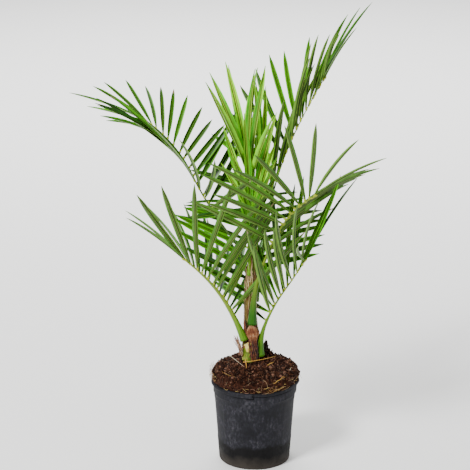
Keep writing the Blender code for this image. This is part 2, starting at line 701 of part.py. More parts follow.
def main():
    for old in list(bpy.data.objects):
        bpy.data.objects.remove(old, do_unlink=True)
    surfaces = {name: material(name, *look) for name, look in SURFACES.items()}
    make_pot(surfaces["black_pot_plastic"])
    make_soil(surfaces["peat_root_ball"])
    wraps = [make_wrap(name, wrap, surfaces[wrap.surface]) for name, wrap in WRAPS.items()]
    wrap_trees = [tree_of_object(made) for made in wraps]
    ribs = {name: Rib(frond) for name, frond in FRONDS.items()}
    rib_trees = [tree_of(rib.build) for rib in ribs.values()]
    stem = make_stem(surfaces["stem_sheath"], rib_trees + wrap_trees)
    plans = plan_leaflets(ribs, wrap_trees + [tree_of_object(stem)])
    for name, rib in ribs.items():
        green = "young_palm_leaf_green" if name.startswith("frond_young") else "palm_leaf_green"
        make_frond(name, rib, plans[name], surfaces[green])


main()
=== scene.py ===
"""Looks of a young potted date palm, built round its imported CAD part.

Metres, +Z up, in the part's own frame: the pot stands on z = 0, the front of the
plant faces -Y and +X is to its right. Every frond is grown again by the part's
own rule, with finer ribs and leaflets, and the pot, the root ball, the stem and
the dry leaf bases are replaced by closer work inside the same sizes.
"""
import math
from collections import namedtuple

import bmesh
import bpy
import numpy as np
from mathutils import Matrix, Vector, noise
from mathutils.bvhtree import BVHTree


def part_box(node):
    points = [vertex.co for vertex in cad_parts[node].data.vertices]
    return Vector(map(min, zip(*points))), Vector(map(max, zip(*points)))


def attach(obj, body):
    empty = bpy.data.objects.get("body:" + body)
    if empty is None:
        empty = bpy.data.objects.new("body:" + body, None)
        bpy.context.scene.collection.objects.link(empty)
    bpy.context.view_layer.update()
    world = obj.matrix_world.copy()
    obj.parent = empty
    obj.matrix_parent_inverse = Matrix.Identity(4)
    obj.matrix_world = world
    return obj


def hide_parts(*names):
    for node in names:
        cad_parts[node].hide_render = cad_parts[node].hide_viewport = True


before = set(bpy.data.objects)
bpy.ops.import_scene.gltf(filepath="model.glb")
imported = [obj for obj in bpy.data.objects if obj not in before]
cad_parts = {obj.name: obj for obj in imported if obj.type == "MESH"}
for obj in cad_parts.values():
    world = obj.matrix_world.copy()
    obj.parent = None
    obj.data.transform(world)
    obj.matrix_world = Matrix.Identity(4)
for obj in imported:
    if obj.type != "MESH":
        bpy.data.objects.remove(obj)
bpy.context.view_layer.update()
MM = 0.001
SEED = 7
# angles in degrees from which an edge is shaded as a crease
NO_CREASE = 180.0
POT_CREASE = 35.0
SHEATH_CREASE = 60.0
LEAF_CREASE = 38.0

# Camera, worked out from the ellipses of the pot in a picture 470 pixels wide
CAMERA_PLACE = (-0.034, -2.6, 1.188)
CAMERA_PITCH = 16.77
FOCAL_PIXELS = 1609.0
PICTURE_PIXELS = 470.0
SENSOR_WIDTH = 36.0

# Soft lights: place, point they face, width and power
PLANT_HEART = (0.0, 0.0, 0.40)
LIGHTS = {
    "key_light": ((-1.7, -1.9, 2.9), PLANT_HEART, 0.8, 170.0),
    "fill_light": ((2.4, -1.5, 1.5), PLANT_HEART, 2.2, 10.0),
    "ground_light": ((0.0, 3.4, 3.0), (0.0, 3.6, 0.0), 4.0, 330.0),
}
SKY_STRENGTH = 0.37
# floor: half its side, and how far its middle lies behind the plant
FLOOR_HALF = 14.0
FLOOR_BACK = 6.0

# Pot: its height is the CAD node's own
POT_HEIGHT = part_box("pot")[1].z
POT_BASE_RADIUS = 0.0618
POT_NECK_RADIUS = 0.0705
POT_COLLAR_RADIUS = 0.0717
POT_COLLAR_HEIGHT = 0.0155
POT_LIP_RADIUS = 0.0755
POT_LIP_HEIGHT = 0.0055
LIP_Z = POT_HEIGHT - POT_LIP_HEIGHT
COLLAR_Z = LIP_Z - POT_COLLAR_HEIGHT
POT_WALL = 1.6 * MM
POT_FLOOR = 2.5 * MM
POT_FOOT_ROUND = 2.2 * MM
POT_STEP = 0.8 * MM
LIP_UNDERCUT = 0.9 * MM
# rows of the collar below the lip, and how far the painted shadow under the lip reaches down from its edge
COLLAR_ROWS = (5.4 * MM, 4.8 * MM, 4.2 * MM, 3.6 * MM, 3.1 * MM, 2.6 * MM)
LIP_SHADOW_DEPTH = 2.3 * MM
POT_TURNS = 256
POT_WALL_ROWS = 26
DRAIN_COUNT = 6
DRAIN_RADIUS = 5 * MM
DRAIN_CIRCLE = 0.040
# the lip's overhang hangs lower and lower towards a nick, beyond which it is flat
NICK_AZIMUTH = 268.0
NICK_SIZE = (12 * MM, 3.2 * MM, 7.5 * MM)
NICK_TILT = 38.0
SKIRT_START = 190.0
SKIRT_DROP = 2.6 * MM
FLAT_END = 338.0
FLAT_FADE = 22.0
FLAT_IN = 2.6 * MM
# side where collar and lip are pushed out: middle, span, how far, share of it at the collar
BULGE_AZIMUTH = 2.0
BULGE_SPAN = 16.0
BULGE_OUT = 3.0 * MM
BULGE_FOOT_SHARE = 0.35
# sunk panels in the wall: azimuths of the seams between them, depth and height
PANEL_SEAMS = (40.0, 132.0, 220.0, 317.0)
PANEL_SEAM_HALF = 1.6
PANEL_DEPTH = 0.45 * MM
PANEL_LOW = 0.040
PANEL_HIGH = 0.113

# Root ball
SOIL_WALL_GAP = 1.1 * MM
SOIL_SWELL = 3.4 * MM
SOIL_EDGE_Z = 0.1635
SOIL_EDGE_RADIUS = 0.0700
SOIL_TOP_Z = 0.1810
SOIL_FLAT_RADIUS = 0.027
SOIL_FALL = 1.2
SOIL_BACK_RISE = 2 * MM
SOIL_TURNS = 230
SOIL_ROWS = 62
# slow waves of the crown's height as (size, count around, first angle)
SOIL_LUMPS = ((1.6 * MM, 5, 34), (1.2 * MM, 9, 110))
# broad lumps as (azimuth, span, out, rise)
SOIL_HILLS = ((4.0, 24.0, 2.8 * MM, 2.0 * MM), (165.0, 30.0, 0.0, -3.5 * MM))
# relief as (height, distance between lumps)
SOIL_RELIEF = ((4.2 * MM, 13 * MM), (2.8 * MM, 5.5 * MM), (1.5 * MM, 2.4 * MM))
CRUMB_COUNT = 5200
CRUMB_SIZES = (0.5 * MM, 2.8 * MM)
# small clods near the edge of the crown: how many, crumbs in each, radius, height
CLOD_COUNT = 54
CLOD_CRUMBS = 16
CLOD_RADIUS = 3.6 * MM
CLOD_HEIGHT = 5.5 * MM
# heap of loose bark right of the stem: middle, radius, height, flakes in it
HEAP_MIDDLE = (0.017, 0.008)
HEAP_RADIUS = 24 * MM
HEAP_HEIGHT = 25 * MM
HEAP_COUNT = 1100
# how often a crumb is dark, brown and reddish
CRUMB_SHARES = (0.58, 0.32, 0.10)
FIBRE_COUNT = 420
RIM_FIBRE_COUNT = 90
# how often a fibre is brown, tan, pale and dark, on the crown and at the rim
FIBRE_SHARES = (0.50, 0.18, 0.04, 0.28)
RIM_FIBRE_SHARES = (0.40, 0.26, 0.10, 0.24)
# fibres that lie together at the edge: how many, azimuths, radii, heights over the
# lip and first and last material
TUFTS = ((60, (286, 316), (71.5 * MM, 75.5 * MM), (1.5 * MM, 11 * MM), 0, 2),
         (80, (160, 204), (73.0 * MM, 78.5 * MM), (5 * MM, 19 * MM), 1, 3),
         (34, (222, 280), (71.5 * MM, 75.5 * MM), (1.5 * MM, 11 * MM), 1, 4),
         (30, (322, 352), (72.5 * MM, 77.0 * MM), (5 * MM, 17 * MM), 1, 4))
# straws that lie across the crown: places along each, radius and material index
STRAWS = (
    (((-0.0200, -0.0262, 0.1850), (0.0110, -0.0255, 0.1880), (0.0368, -0.0020, 0.1870)), 0.62 * MM, 0),
    (((-0.0160, -0.0181, 0.1870), (-0.0150, -0.0300, 0.1850), (-0.0144, -0.0409, 0.1800)), 0.80 * MM, 0),
    (((-0.0470, 0.0133, 0.1850), (-0.0323, -0.0132, 0.1840), (-0.0178, -0.0386, 0.1810)), 0.34 * MM, 1),
    (((0.0215, -0.0300, 0.1810), (0.0270, -0.0250, 0.1830), (0.0330, -0.0180, 0.1820)), 0.70 * MM, 2),
    (((0.0300, -0.0640, 0.1600), (0.0420, -0.0590, 0.1625), (0.0520, -0.0500, 0.1620)), 0.45 * MM, 0),
    (((-0.0560, -0.0330, 0.1700), (-0.0450, -0.0460, 0.1690), (-0.0330, -0.0560, 0.1660)), 0.30 * MM, 2),
    (((0.0580, -0.0270, 0.1660), (0.0630, -0.0100, 0.1680), (0.0660, 0.0080, 0.1680)), 0.40 * MM, 1),
)
STRAW_CLEARANCE = 1.3 * MM

# Stem: how far to the right it stands, at equal steps of height
STEM_LOW, STEM_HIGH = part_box("stem")
STEM_DRIFT = (-0.0030, -0.0035, -0.0050, -0.0070, -0.0080, -0.0080, -0.0070, -0.0055, -0.0045)
STEM_TURNS = 96
STEM_ROWS = 120
STEM_INSET = 0.5 * MM
STEM_FIBRE_DEPTH = 0.45 * MM
STEM_FIBRE_GAP = 1.6 * MM
# slanting edges of old leaf bases: height on the stem, slant, step
STEM_EDGES = ((0.199, 0.010, 0.9 * MM), (0.225, -0.012, 0.7 * MM), (0.255, 0.011, 0.7 * MM),
              (0.286, -0.010, 0.7 * MM), (0.312, 0.009, 0.6 * MM))
STEM_EDGE_FALL = 16 * MM
# threads on the stem: how many, heights of their feet, lengths and radii
STEM_THREADS = ((150, (0.182, 0.318), (14 * MM, 42 * MM), (0.18 * MM, 0.55 * MM)),
                (80, (0.290, 0.332), (26 * MM, 64 * MM), (0.35 * MM, 1.0 * MM)))
# strips of torn sheath: how many, then azimuths, radii and heights of their feet and
# of their tips, and first and last material
STRIPS = (
    (40, (186, 224), (0.0215, 0.0240), (0.190, 0.208), (180, 214), (0.0240, 0.0330), (0.206, 0.229), 0, 2),
    (14, (2, 34), (0.0170, 0.0240), (0.184, 0.190), (0, 40), (0.0190, 0.0310), (0.192, 0.212), 3, 4),
    (24, (252, 304), (0.0205, 0.0225), (0.184, 0.200), (248, 302), (0.0210, 0.0245), (0.206, 0.228), 2, 5),
    (10, (222, 240), (0.0130, 0.0150), (0.232, 0.242), (216, 238), (0.0140, 0.0175), (0.248, 0.266), 2, 5),
    (8, (296, 320), (0.0120, 0.0140), (0.228, 0.240), (300, 326), (0.0130, 0.0170), (0.244, 0.256), 3, 5),
)

# Scraps of leaf base wrapped round the stem: radius and height go from the foot
# to the top, rounding is the share of the height that is lost at both sides of the
# peak and narrow the share of the width that is lost at the foot
Wrap = namedtuple("Wrap", "slot azimuths radii heights thickness rounding peak narrow ragged")
WRAPS = {
    "cut_leaf_base": Wrap(
        "cut_stalk", (209, 284), (0.0200, 0.0180), (STEM_LOW.z, 0.2170), 3.0 * MM, 0.33, 0.55, 0.0,
        1.2 * MM),
    "sheath_left": Wrap(
        "dry_sheath", (166, 207), (0.0188, 0.0252), (0.1990, 0.2240), 1.0 * MM, 0.6, 0.5, 0.0, 3.2 * MM),
    "sheath_right": Wrap(
        "stem_sheath", (10, 52), (0.0175, 0.0275), (0.1860, 0.2110), 1.0 * MM, 0.7, 0.3, 0.0, 4.0 * MM),
    "sheath_front": Wrap(
        "dry_sheath", (238, 318), (0.0150, 0.0170), (0.2135, 0.2490), 0.9 * MM, 0.45, 0.45, 0.75,
        0.8 * MM),
}
# materials of each scrap: name, tones and, where it is smoother than paper, roughness
WRAP_LOOKS = {
    "cut_leaf_base": (
        ("cut_stalk_bark_brown", ((0.38, "#35150a"), (0.62, "#a87a4c"), (0.50, "#6e4022")), 0.7),
        ("cut_stalk_skin_green", ((0.38, "#3c5208"), (0.62, "#a8a83c"), (0.50, "#6c8216")), 0.5),
        ("cut_stalk_pith_cream", ((0.36, "#b4963c"), (0.62, "#f8eea4"), (0.50, "#e6d46c")), 0.7)),
    "sheath_left": (("leaf_sheath_dry_tan", ((0.38, "#6d4a36"), (0.62, "#cdb39b"), (0.50, "#a07f66"))),),
    "sheath_right": (("leaf_sheath_dry_dark", ((0.38, "#140a07"), (0.62, "#4a2e20"), (0.50, "#291611"))),),
    "sheath_front": (("leaf_sheath_dry_brown", ((0.40, "#4e2012"), (0.60, "#cb9c76"), (0.50, "#88522f"))),),
}
WRAP_COLUMNS = 26
WRAP_ROWS = 30
# cut face of the leaf base, in shares of its width and height: middle and half width at
# its top, where it starts, how ragged its sides are and its least width; and its depth
CUT_MIDDLE = 0.45
CUT_HALF = 0.30
CUT_START = 0.47
CUT_RAGGED = 0.05
CUT_LEAST_WIDTH = 0.03
CUT_DEPTH = 2.4 * MM
# how far the green skin reaches across and up beside it
SKIN_SIDE = 0.74
SKIN_UP = 0.80
SHEATH_FIBRE_GAP = 1.1 * MM

# Ribs and leaflets, by the same rule and sizes as the part's
RIB_STEPS = 40
RIB_RINGS = 54
RIB_SIDES = 14
RIB_HALF_WIDTH = 2.9 * MM
RIB_TIP_HALF_WIDTH = 0.8 * MM
RIB_DEPTH_SHARE = 0.75
RIB_FOOT_DEPTH_SHARE = 0.98
RIB_TAPER = 0.8
RIB_TOP_SHARE = 0.55
RIB_GROOVE = 0.40
LEAF_WANDER = 0.12
LEAF_WANDER_STEP = 2.4
LEAF_LAST_PLACE = 0.98
LEAF_SHORT_WIDTH = 0.55
LEAF_FULL_LENGTH = 0.14
LEAF_FOLD = 0.20
LEAF_BOW = 0.035
TIP_LEAF_SHARE = 0.985
TIP_LEAF_WIDTH = 0.8
TIP_LEAF_SHORTER = 0.7
LEAF_FOOT = 0.30
LEAF_WIDEST = 0.38
LEAF_POINT_POWER = 4.6
YOUNG_POINT_POWER = 2.6
LEAF_POINT_WIDTH = 0.06
LEAF_COLUMNS = 8
LEAF_ROWS = 22
LEAF_THICKNESS = 0.55 * MM
LEAF_MIDRIB = 0.55 * MM
# the real blade is folded more sharply than the part's, the young one most
BLADE_FOLD = 0.38
YOUNG_BLADE_FOLD = 0.45
LEAF_CLASP = 0.45
LEAF_CLASP_LENGTH = 0.10
LEAF_TWIST = 14.0
LEAF_SWAY = 0.012
CAD_LEAF_THICKNESS = 1.8 * MM
CAD_LEAF_OUTLINE = ((0.0, 0.30), (0.30, 1.0), (0.70, 0.76))
CAD_RIB_RINGS = 11
CAD_RIB_SIDES = 5
CAD_RIB_CROWDING = 1.25
DODGE_MARGIN = 0.8 * MM
DODGES = tuple(
    (out * step, rise * step, share)
    for share in (1.0, 0.85, 0.7, 0.55)
    for step in (0, 1, 2, 3)
    for out, rise in ((4, 0), (-4, 0), (0, 5), (0, -5), (3, 4), (-3, 4), (3, -4), (-3, -4))
    if step or (out, rise) == (4, 0))
# cushion at a leaflet's foot: half its length, width and depth
SWELLING = (4.2 * MM, 2.0 * MM, 1.9 * MM)
# materials of a leaflet piece: the tones of its blades, then underside and dried tip
BLADE_TONES = 3
# painted light and shade: the waves across a blade make pale and dark bands, some 4 mm apart, as if it were
# lit from one side; they also give the bump of the veins, which really lie about 0.5 mm apart
VEIN_AND_SIDE_LIGHT_LANES = 2.0
# dark and light tone of the blades; the three are dealt out leaflet by leaflet
GROWN_TONES = {"deep": ("#042000", "#0e3800"), "middle": ("#0a3400", "#205800"),
               "light": ("#2c6400", "#5aa000")}
YOUNG_TONES = {"deep": ("#246c00", "#409000"), "middle": ("#3c9000", "#68b800"),
               "light": ("#60b000", "#a0d808")}
# tones of the grown ribs, up the rib and at its foot, of the young ones and of the cushions
RIB_TONES = {
    "frond_right_front": (("#5d7d10", "#9aae2c"), ("#134a00", "#2c6a00")),
    "frond_lower_left": (("#4c7410", "#8fa230"), ("#2a6400", "#6c941a")),
    "frond_lower_right": (("#3f6c0c", "#7c9a2a"), ("#235c00", "#568814")),
    "frond_upper_left": (("#33501c", "#66803c"), ("#33501c", "#5f7c34")),
    "frond_upper_right": (("#3c6410", "#7a9a2c"), ("#2c5a08", "#5f8a1c")),
    "frond_back": (("#2c540a", "#5f8024"), ("#2c540a", "#5f8024")),
}
YOUNG_RIB_TONES = (("#4f8a00", "#8ab81c"), ("#3a7400", "#7aa812"))
CUSHION_TONES = ("#8aa010", "#bcc63a")

YOUNG_Z = STEM_HIGH.z + 0.6 * MM
Rank = namedtuple("Rank", "count out rise length shift spread")
Frond = namedtuple("Frond", "root length heading lift roll bare stalk flare blade narrow left right")

# heading is turned from +X towards +Y and lift is above level, both from the root
# to the tip. bare is the share of the rib without leaflets, stalk the width at the
# root and flare the length over which that width fades. blade is a leaflet's full
# width and narrow the share of it that the last leaflets lose. In a rank, out is a
# leaflet's angle to the rib and rise its turn towards the upper face, from the lowest
# leaflet on, shift moves the rank by a share of the leaflets' spacing and a spread
# under one crowds them to the tip.
FRONDS = {
    "frond_right_front": Frond(
        root=(-0.0048, -0.0150, 0.2505), length=0.293, heading=(-56, -45, -26), lift=(89, 67, 59, 32),
        roll=-20, bare=0.50, stalk=0.0165, flare=0.050, blade=0.0104, narrow=0.30,
        left=Rank(9, (70, 57, 78, 78, 78, 49), (19, 21, 22, 19, 19, 10),
                  (0.143, 0.144, 0.176, 0.196, 0.176, 0.125), -0.23, 0.89),
        right=Rank(10, (86, 75, 90, 75, 53, 16), (40, 5, 37, 10, 54, 7),
                   (0.160, 0.142, 0.175, 0.155, 0.146, 0.165), 0.0, 0.65)),
    "frond_lower_left": Frond(
        root=(-0.0178, -0.0120, 0.220), length=0.197, heading=(158, 204, 218), lift=(69, 61, 48, 39),
        roll=21, bare=0.15, stalk=0.0152, flare=0.085, blade=0.0104, narrow=0.12,
        left=Rank(11, (71, 56, 63, 68, 32, 7), (69, 58, 45, 40, 36, 61),
                  (0.205, 0.199, 0.190, 0.200, 0.180, 0.165), -0.09, 0.90),
        right=Rank(11, (70, 88, 90, 82, 74, 50), (49, 57, 52, 62, 50, 29),
                   (0.200, 0.198, 0.165, 0.153, 0.153, 0.130), 0.12, 0.81)),
    "frond_lower_right": Frond(
        root=(0.0086, -0.0105, 0.192), length=0.194, heading=(11, -15, 14), lift=(93, 67, 56, 57),
        roll=15, bare=0.30, stalk=0.0182, flare=0.042, blade=0.0104, narrow=0.42,
        left=Rank(9, (91, 95, 54, 33, 23, 12), (30, 51, 58, 52, 53, 90),
                  (0.205, 0.220, 0.220, 0.174, 0.169, 0.160), 0.15, 1.09),
        right=Rank(8, (41, 48, 50, 59, 49, 92), (52, 60, 55, 56, 48, 43),
                   (0.165, 0.190, 0.165, 0.220, 0.200, 0.170), 0.90, 1.0)),
    "frond_upper_left": Frond(
        root=(-0.0145, 0.0070, 0.280), length=0.386, heading=(207, 176, 135), lift=(101, 54, 63, 16),
        roll=-15, bare=0.47, stalk=0.0095, flare=0.060, blade=0.0104, narrow=0.38,
        left=Rank(12, (87, 51, 33, 65, 66, 30), (66, 39, 6, 33, 21, 23),
                  (0.139, 0.157, 0.215, 0.225, 0.105, 0.150), -0.07, 0.97),
        right=Rank(13, (71, 56, 72, 52, 35, 0), (22, 55, 55, 25, -6, 16),
                   (0.165, 0.136, 0.080, 0.095, 0.112, 0.135), 0.0, 0.83)),
    "frond_upper_right": Frond(
        root=(0.0029, 0.0096, 0.283), length=0.417, heading=(32, 49, 43), lift=(85, 77, 54, 45),
        roll=-31, bare=0.37, stalk=0.0095, flare=0.060, blade=0.0104, narrow=0.42,
        left=Rank(13, (120, 68, 51, 33, -6, 22), (60, 44, 22, 58, 14, 25),
                  (0.165, 0.153, 0.215, 0.137, 0.205, 0.134), 0.05, 0.92),
        right=Rank(12, (10, -6, 24, 30, 12, 62), (100, 46, 55, 60, 48, 25),
                   (0.165, 0.180, 0.137, 0.132, 0.115, 0.092), -0.03, 0.70)),
    "frond_young_centre": Frond(
        root=(-0.0028, -0.0036, YOUNG_Z), length=0.221, heading=(184, 139, 106), lift=(90, 88, 87, 50),
        roll=-24, bare=0.69, stalk=0.0070, flare=0.200, blade=0.0125, narrow=0.0,
        left=Rank(5, (30, 22, 6, -37), (46, 33, 6, 47), (0.197, 0.175, 0.173, 0.179), -0.18, 1.0),
        right=Rank(6, (49, 14, 28, 24), (78, 39, 48, 23), (0.133, 0.175, 0.125, 0.144), 0.69, 1.11)),
    "frond_young_left": Frond(
        root=(-0.0102, -0.0088, YOUNG_Z), length=0.158, heading=(189, 175, 163), lift=(93, 92, 86, 75),
        roll=-68, bare=0.50, stalk=0.0070, flare=0.200, blade=0.0125, narrow=0.0,
        left=Rank(4, (10, 0, 21, 23), (2, 2, 31, 68), (0.211, 0.188, 0.095, 0.115), -1.18, 1.11),
        right=Rank(5, (23, 28, 13, -15), (66, 46, 29, 24), (0.135, 0.129, 0.170, 0.125), -1.21, 1.26)),
    "frond_young_right": Frond(
        root=(0.0022, 0.0044, YOUNG_Z), length=0.167, heading=(26, 50, 73), lift=(91, 93, 87, 73),
        roll=26, bare=0.40, stalk=0.0070, flare=0.200, blade=0.0125, narrow=0.0,
        left=Rank(4, (28, 16, 9, 12), (35, 24, 50, 41), (0.108, 0.119, 0.201, 0.140), 0.45, 0.73),
        right=Rank(4, (31, 8, 30, -2), (45, 49, 50, 1), (0.231, 0.168, 0.111, 0.173), -0.41, 1.49)),
    "frond_back": Frond(
        root=(-0.0070, 0.0122, 0.251), length=0.212, heading=(96, 97, 88), lift=(86, 73, 67, 40),
        roll=-15, bare=0.16, stalk=0.0070, flare=0.035, blade=0.0104, narrow=0.42,
        left=Rank(10, (70, 59, 74, 76), (57, 23, 7, -15), (0.146, 0.156, 0.115, 0.130), -0.06, 0.90),
        right=Rank(11, (82, 80, 81, 74), (61, 4, -12, -22), (0.129, 0.134, 0.133, 0.083), 0.21, 0.91)),
}


# Small tools

def linear(code):
    """Linear RGBA from an sRGB hex colour."""
    parts = [int(code[i:i + 2], 16) / 255 for i in (1, 3, 5)]
    return [c / 12.92 if c <= 0.04045 else ((c + 0.055) / 1.055) ** 2.4 for c in parts] + [1.0]


def add_node(tree, kind, inputs=None, stops=(), **settings):
    """A node with its settings; an input takes a value, or a socket to link."""
    made = tree.nodes.new(kind)
    for name, value in settings.items():
        setattr(made, name, value)
    for name, value in (inputs or {}).items():
        if isinstance(value, bpy.types.NodeSocket):
            tree.links.new(value, made.inputs[name])
        else:
            made.inputs[name].default_value = value
    for i, (place, code) in enumerate(stops):
        elements = made.color_ramp.elements
        stop = elements[i] if i < 2 else elements.new(place)
        stop.position = place
        stop.color = linear(code)
    return made


def clamp(value):
    """The nearest number from 0 to 1."""
    return min(max(value, 0.0), 1.0)


def blend(values, share):
    """Straight-line blend through evenly spaced values."""
    place = clamp(share) * (len(values) - 1)
    index = min(int(place), len(values) - 2)
    return values[index] + (values[index + 1] - values[index]) * (place - index)


def polar(radius, azimuth, height, centre=Vector((0.0, 0.0, 0.0))):
    """Point in a direction, at a radius and a height from a centre."""
    turn = math.radians(azimuth)
    return centre + Vector((radius * math.cos(turn), radius * math.sin(turn), height))


def azimuth_of(point):
    """Direction of a point in degrees, turned from +X towards +Y."""
    return math.degrees(math.atan2(point.y, point.x)) % 360.0


def turn_from(middle, azimuth):
    """Degrees from one direction to another, the short way round."""
    return (azimuth - middle + 180.0) % 360.0 - 180.0


def hill(azimuth, middle, span):
    """Smooth rise to one around a direction."""
    return math.exp(-(turn_from(middle, azimuth) / span) ** 2)


def repeated(table):
    """Each row of a table, without its first value, as often as that value says."""
    return [row[1:] for row in table for _ in range(row[0])]


def waves(table, azimuth):
    """Sum of the waves of a table of (size, count around, first angle)."""
    return sum(size * math.sin(math.radians(count * azimuth + first)) for size, count, first in table)


def add_object(name, data):
    """Object of a mesh, a lamp or a camera, in the scene."""
    made = bpy.data.objects.new(name, data)
    bpy.context.scene.collection.objects.link(made)
    return made


def finish_piece(mesh, materials, slot, *nodes):
    """Object for a finished mesh that rides on the plant and stands for CAD nodes."""
    made = add_object(mesh.name, mesh)
    for surface in materials:
        mesh.materials.append(surface)
    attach(made, "root")
    if nodes:
        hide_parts(*nodes)
    return made


def mesh_of(bm, name, crease_degrees=40.0):
    """Smooth-shaded mesh of a closed bmesh."""
    bmesh.ops.recalc_face_normals(bm, faces=bm.faces)
    mesh = bpy.data.meshes.new(name)
    bm.to_mesh(mesh)
    bm.free()
    mesh.shade_smooth()
    mesh.set_sharp_from_angle(angle=math.radians(crease_degrees))
    return mesh


Template = namedtuple("Template", "points faces")


def template_of(bm):
    """Points and faces of a small body that is copied many times."""
    bmesh.ops.recalc_face_normals(bm, faces=bm.faces)
    bm.verts.index_update()
    points = np.array([vert.co[:] for vert in bm.verts])
    faces = [[vert.index for vert in face.verts] for face in bm.faces]
    bm.free()
    return Template(points, faces)


class Batch:
    """Many small bodies joined into one mesh from arrays."""

    def __init__(self):
        self.points = []
        self.faces = []
        self.looks = []
        self.places = []
        self.count = 0

    def add(self, points, faces, looks, places=None):
        """looks holds a material's index for each face, places a UV pair for each point."""
        self.points.append(points)
        self.faces += [[i + self.count for i in face] for face in faces]
        self.looks += looks
        self.places.append(np.zeros((len(points), 2)) if places is None else places)
        self.count += len(points)

    def mesh(self, name, crease_degrees=NO_CREASE):
        """All bodies added so far as one smooth-shaded mesh."""
        mesh = bpy.data.meshes.new(name)
        mesh.from_pydata(np.concatenate(self.points).tolist(), [], self.faces)
        mesh.polygons.foreach_set("material_index", self.looks)
        corners = np.empty(len(mesh.loops), dtype=np.int32)
        mesh.loops.foreach_get("vertex_index", corners)
        layer = mesh.uv_layers.new(name="place")
        layer.data.foreach_set("uv", np.concatenate(self.places)[corners].ravel())
        mesh.update()
        mesh.shade_smooth()
        mesh.set_sharp_from_angle(angle=math.radians(crease_degrees))
        return mesh


# Materials

def new_material(name):
    """Empty node material with its output, object coordinates and shader socket."""
    made = bpy.data.materials.new(name)
    made.use_nodes = True
    tree = made.node_tree
    tree.nodes.clear()
    output = add_node(tree, "ShaderNodeOutputMaterial")
    shader = add_node(tree, "ShaderNodeBsdfPrincipled")
    tree.links.new(shader.outputs[0], output.inputs["Surface"])
    where = add_node(tree, "ShaderNodeTexCoord")
    return made, tree, shader, where.outputs["Object"], where.outputs["UV"]


def set_shader(tree, shader, colour, roughness, bump=None, specular=0.5):
    """Colour and surface of a material; roughness takes a number or a socket."""
    tree.links.new(colour, shader.inputs["Base Color"])
    shader.inputs["Specular IOR Level"].default_value = specular
    if isinstance(roughness, bpy.types.NodeSocket):
        tree.links.new(roughness, shader.inputs["Roughness"])
    else:
        shader.inputs["Roughness"].default_value = roughness
    if bump is not None:
        tree.links.new(bump, shader.inputs["Normal"])


def pot_material():
    """Black polypropylene, injection moulded: matt, with grey dust and scuffs, darker towards the bottom
    and with a paler, warmer foot.
    """
    made, tree, shader, place, _ = new_material("polypropylene_moulded_black_dusty")
    height = add_node(tree, "ShaderNodeSeparateXYZ", {"Vector": place}).outputs["Z"]
    patches = add_node(tree, "ShaderNodeTexNoise", {
        "Vector": place, "Scale": 1 / (30 * MM), "Detail": 5.0, "Roughness": 0.62})
    stretched = add_node(tree, "ShaderNodeMapping", {"Vector": place, "Scale": (1.0, 1.0, 0.6)})
    streaks = add_node(tree, "ShaderNodeTexNoise", {
        "Vector": stretched.outputs[0], "Scale": 1 / (4 * MM), "Detail": 4.0, "Roughness": 0.6})
    specks = add_node(tree, "ShaderNodeTexNoise", {
        "Vector": place, "Scale": 1 / (1.6 * MM), "Detail": 3.0, "Roughness": 0.7})
    dust = add_node(tree, "ShaderNodeMath", {
        0: patches.outputs["Fac"], 1: streaks.outputs["Fac"]}, operation="MULTIPLY")
    dusty = add_node(tree, "ShaderNodeValToRGB", {"Fac": dust.outputs[0]}, stops=(
        (0.16, "#19191d"), (0.40, "#3f3f44"), (0.26, "#232328"), (0.33, "#302f35")))
    speckled = add_node(tree, "ShaderNodeMix", {
        "Factor": 0.30, 6: dusty.outputs["Color"], 7: specks.outputs["Color"]},
        data_type="RGBA", blend_type="OVERLAY")
    edge = add_node(tree, "ShaderNodeMath", {
        0: patches.outputs["Fac"], 1: 0.030, 2: height}, operation="MULTIPLY_ADD")
    # darker towards the bottom
    darker_low = add_node(tree, "ShaderNodeMapRange", {
        "Value": edge.outputs[0], "From Min": 0.053, "From Max": 0.059, "To Min": 1.0, "To Max": 0.0})
    foot = add_node(tree, "ShaderNodeMapRange", {
        "Value": edge.outputs[0], "From Min": 0.018, "From Max": 0.040, "To Min": 1.0, "To Max": 0.0})
    damped = add_node(tree, "ShaderNodeMix", {
        "Factor": darker_low.outputs[0], 6: speckled.outputs[2], 7: linear("#111011")}, data_type="RGBA")
    footed = add_node(tree, "ShaderNodeMix", {
        "Factor": foot.outputs[0], 6: damped.outputs[2], 7: linear("#3a3530")}, data_type="RGBA")
    rough = add_node(tree, "ShaderNodeMapRange", {
        "Value": dust.outputs[0], "From Min": 0.15, "From Max": 0.40, "To Min": 0.55, "To Max": 0.8})
    bump = add_node(tree, "ShaderNodeBump", {
        "Height": streaks.outputs["Fac"], "Strength": 0.15, "Distance": 0.3 * MM})
    set_shader(tree, shader, footed.outputs[2], rough.outputs[0], bump.outputs[0], 0.12)
    return made


def painted_lip_shadow_material():
    """Painted shadow: the same black plastic, near black and without dust, in the band under the lip where
    its shadow falls.
    """
    made, tree, shader, place, _ = new_material("polypropylene_black_painted_lip_shadow")
    grain = add_node(tree, "ShaderNodeTexNoise", {"Vector": place, "Scale": 1 / (3 * MM), "Detail": 3.0})
    tone = add_node(tree, "ShaderNodeValToRGB", {"Fac": grain.outputs["Fac"]}, stops=(
        (0.35, "#040404"), (0.70, "#0c0b0b")))
    set_shader(tree, shader, tone.outputs["Color"], 0.9, None, 0.05)
    return made


def peat_material(name, stops, grain):
    """Coarse damp peat: dark, crumbly and without shine."""
    made, tree, shader, place, _ = new_material(name)
    lumps = add_node(tree, "ShaderNodeTexNoise", {
        "Vector": place, "Scale": 1 / grain, "Detail": 6.0, "Roughness": 0.75})
    tone = add_node(tree, "ShaderNodeValToRGB", {"Fac": lumps.outputs["Fac"]}, stops=stops)
    bump = add_node(tree, "ShaderNodeBump", {
        "Height": lumps.outputs["Fac"], "Strength": 0.8, "Distance": 1.2 * MM})
    set_shader(tree, shader, tone.outputs["Color"], 0.9, bump.outputs[0], 0.1)
    return made


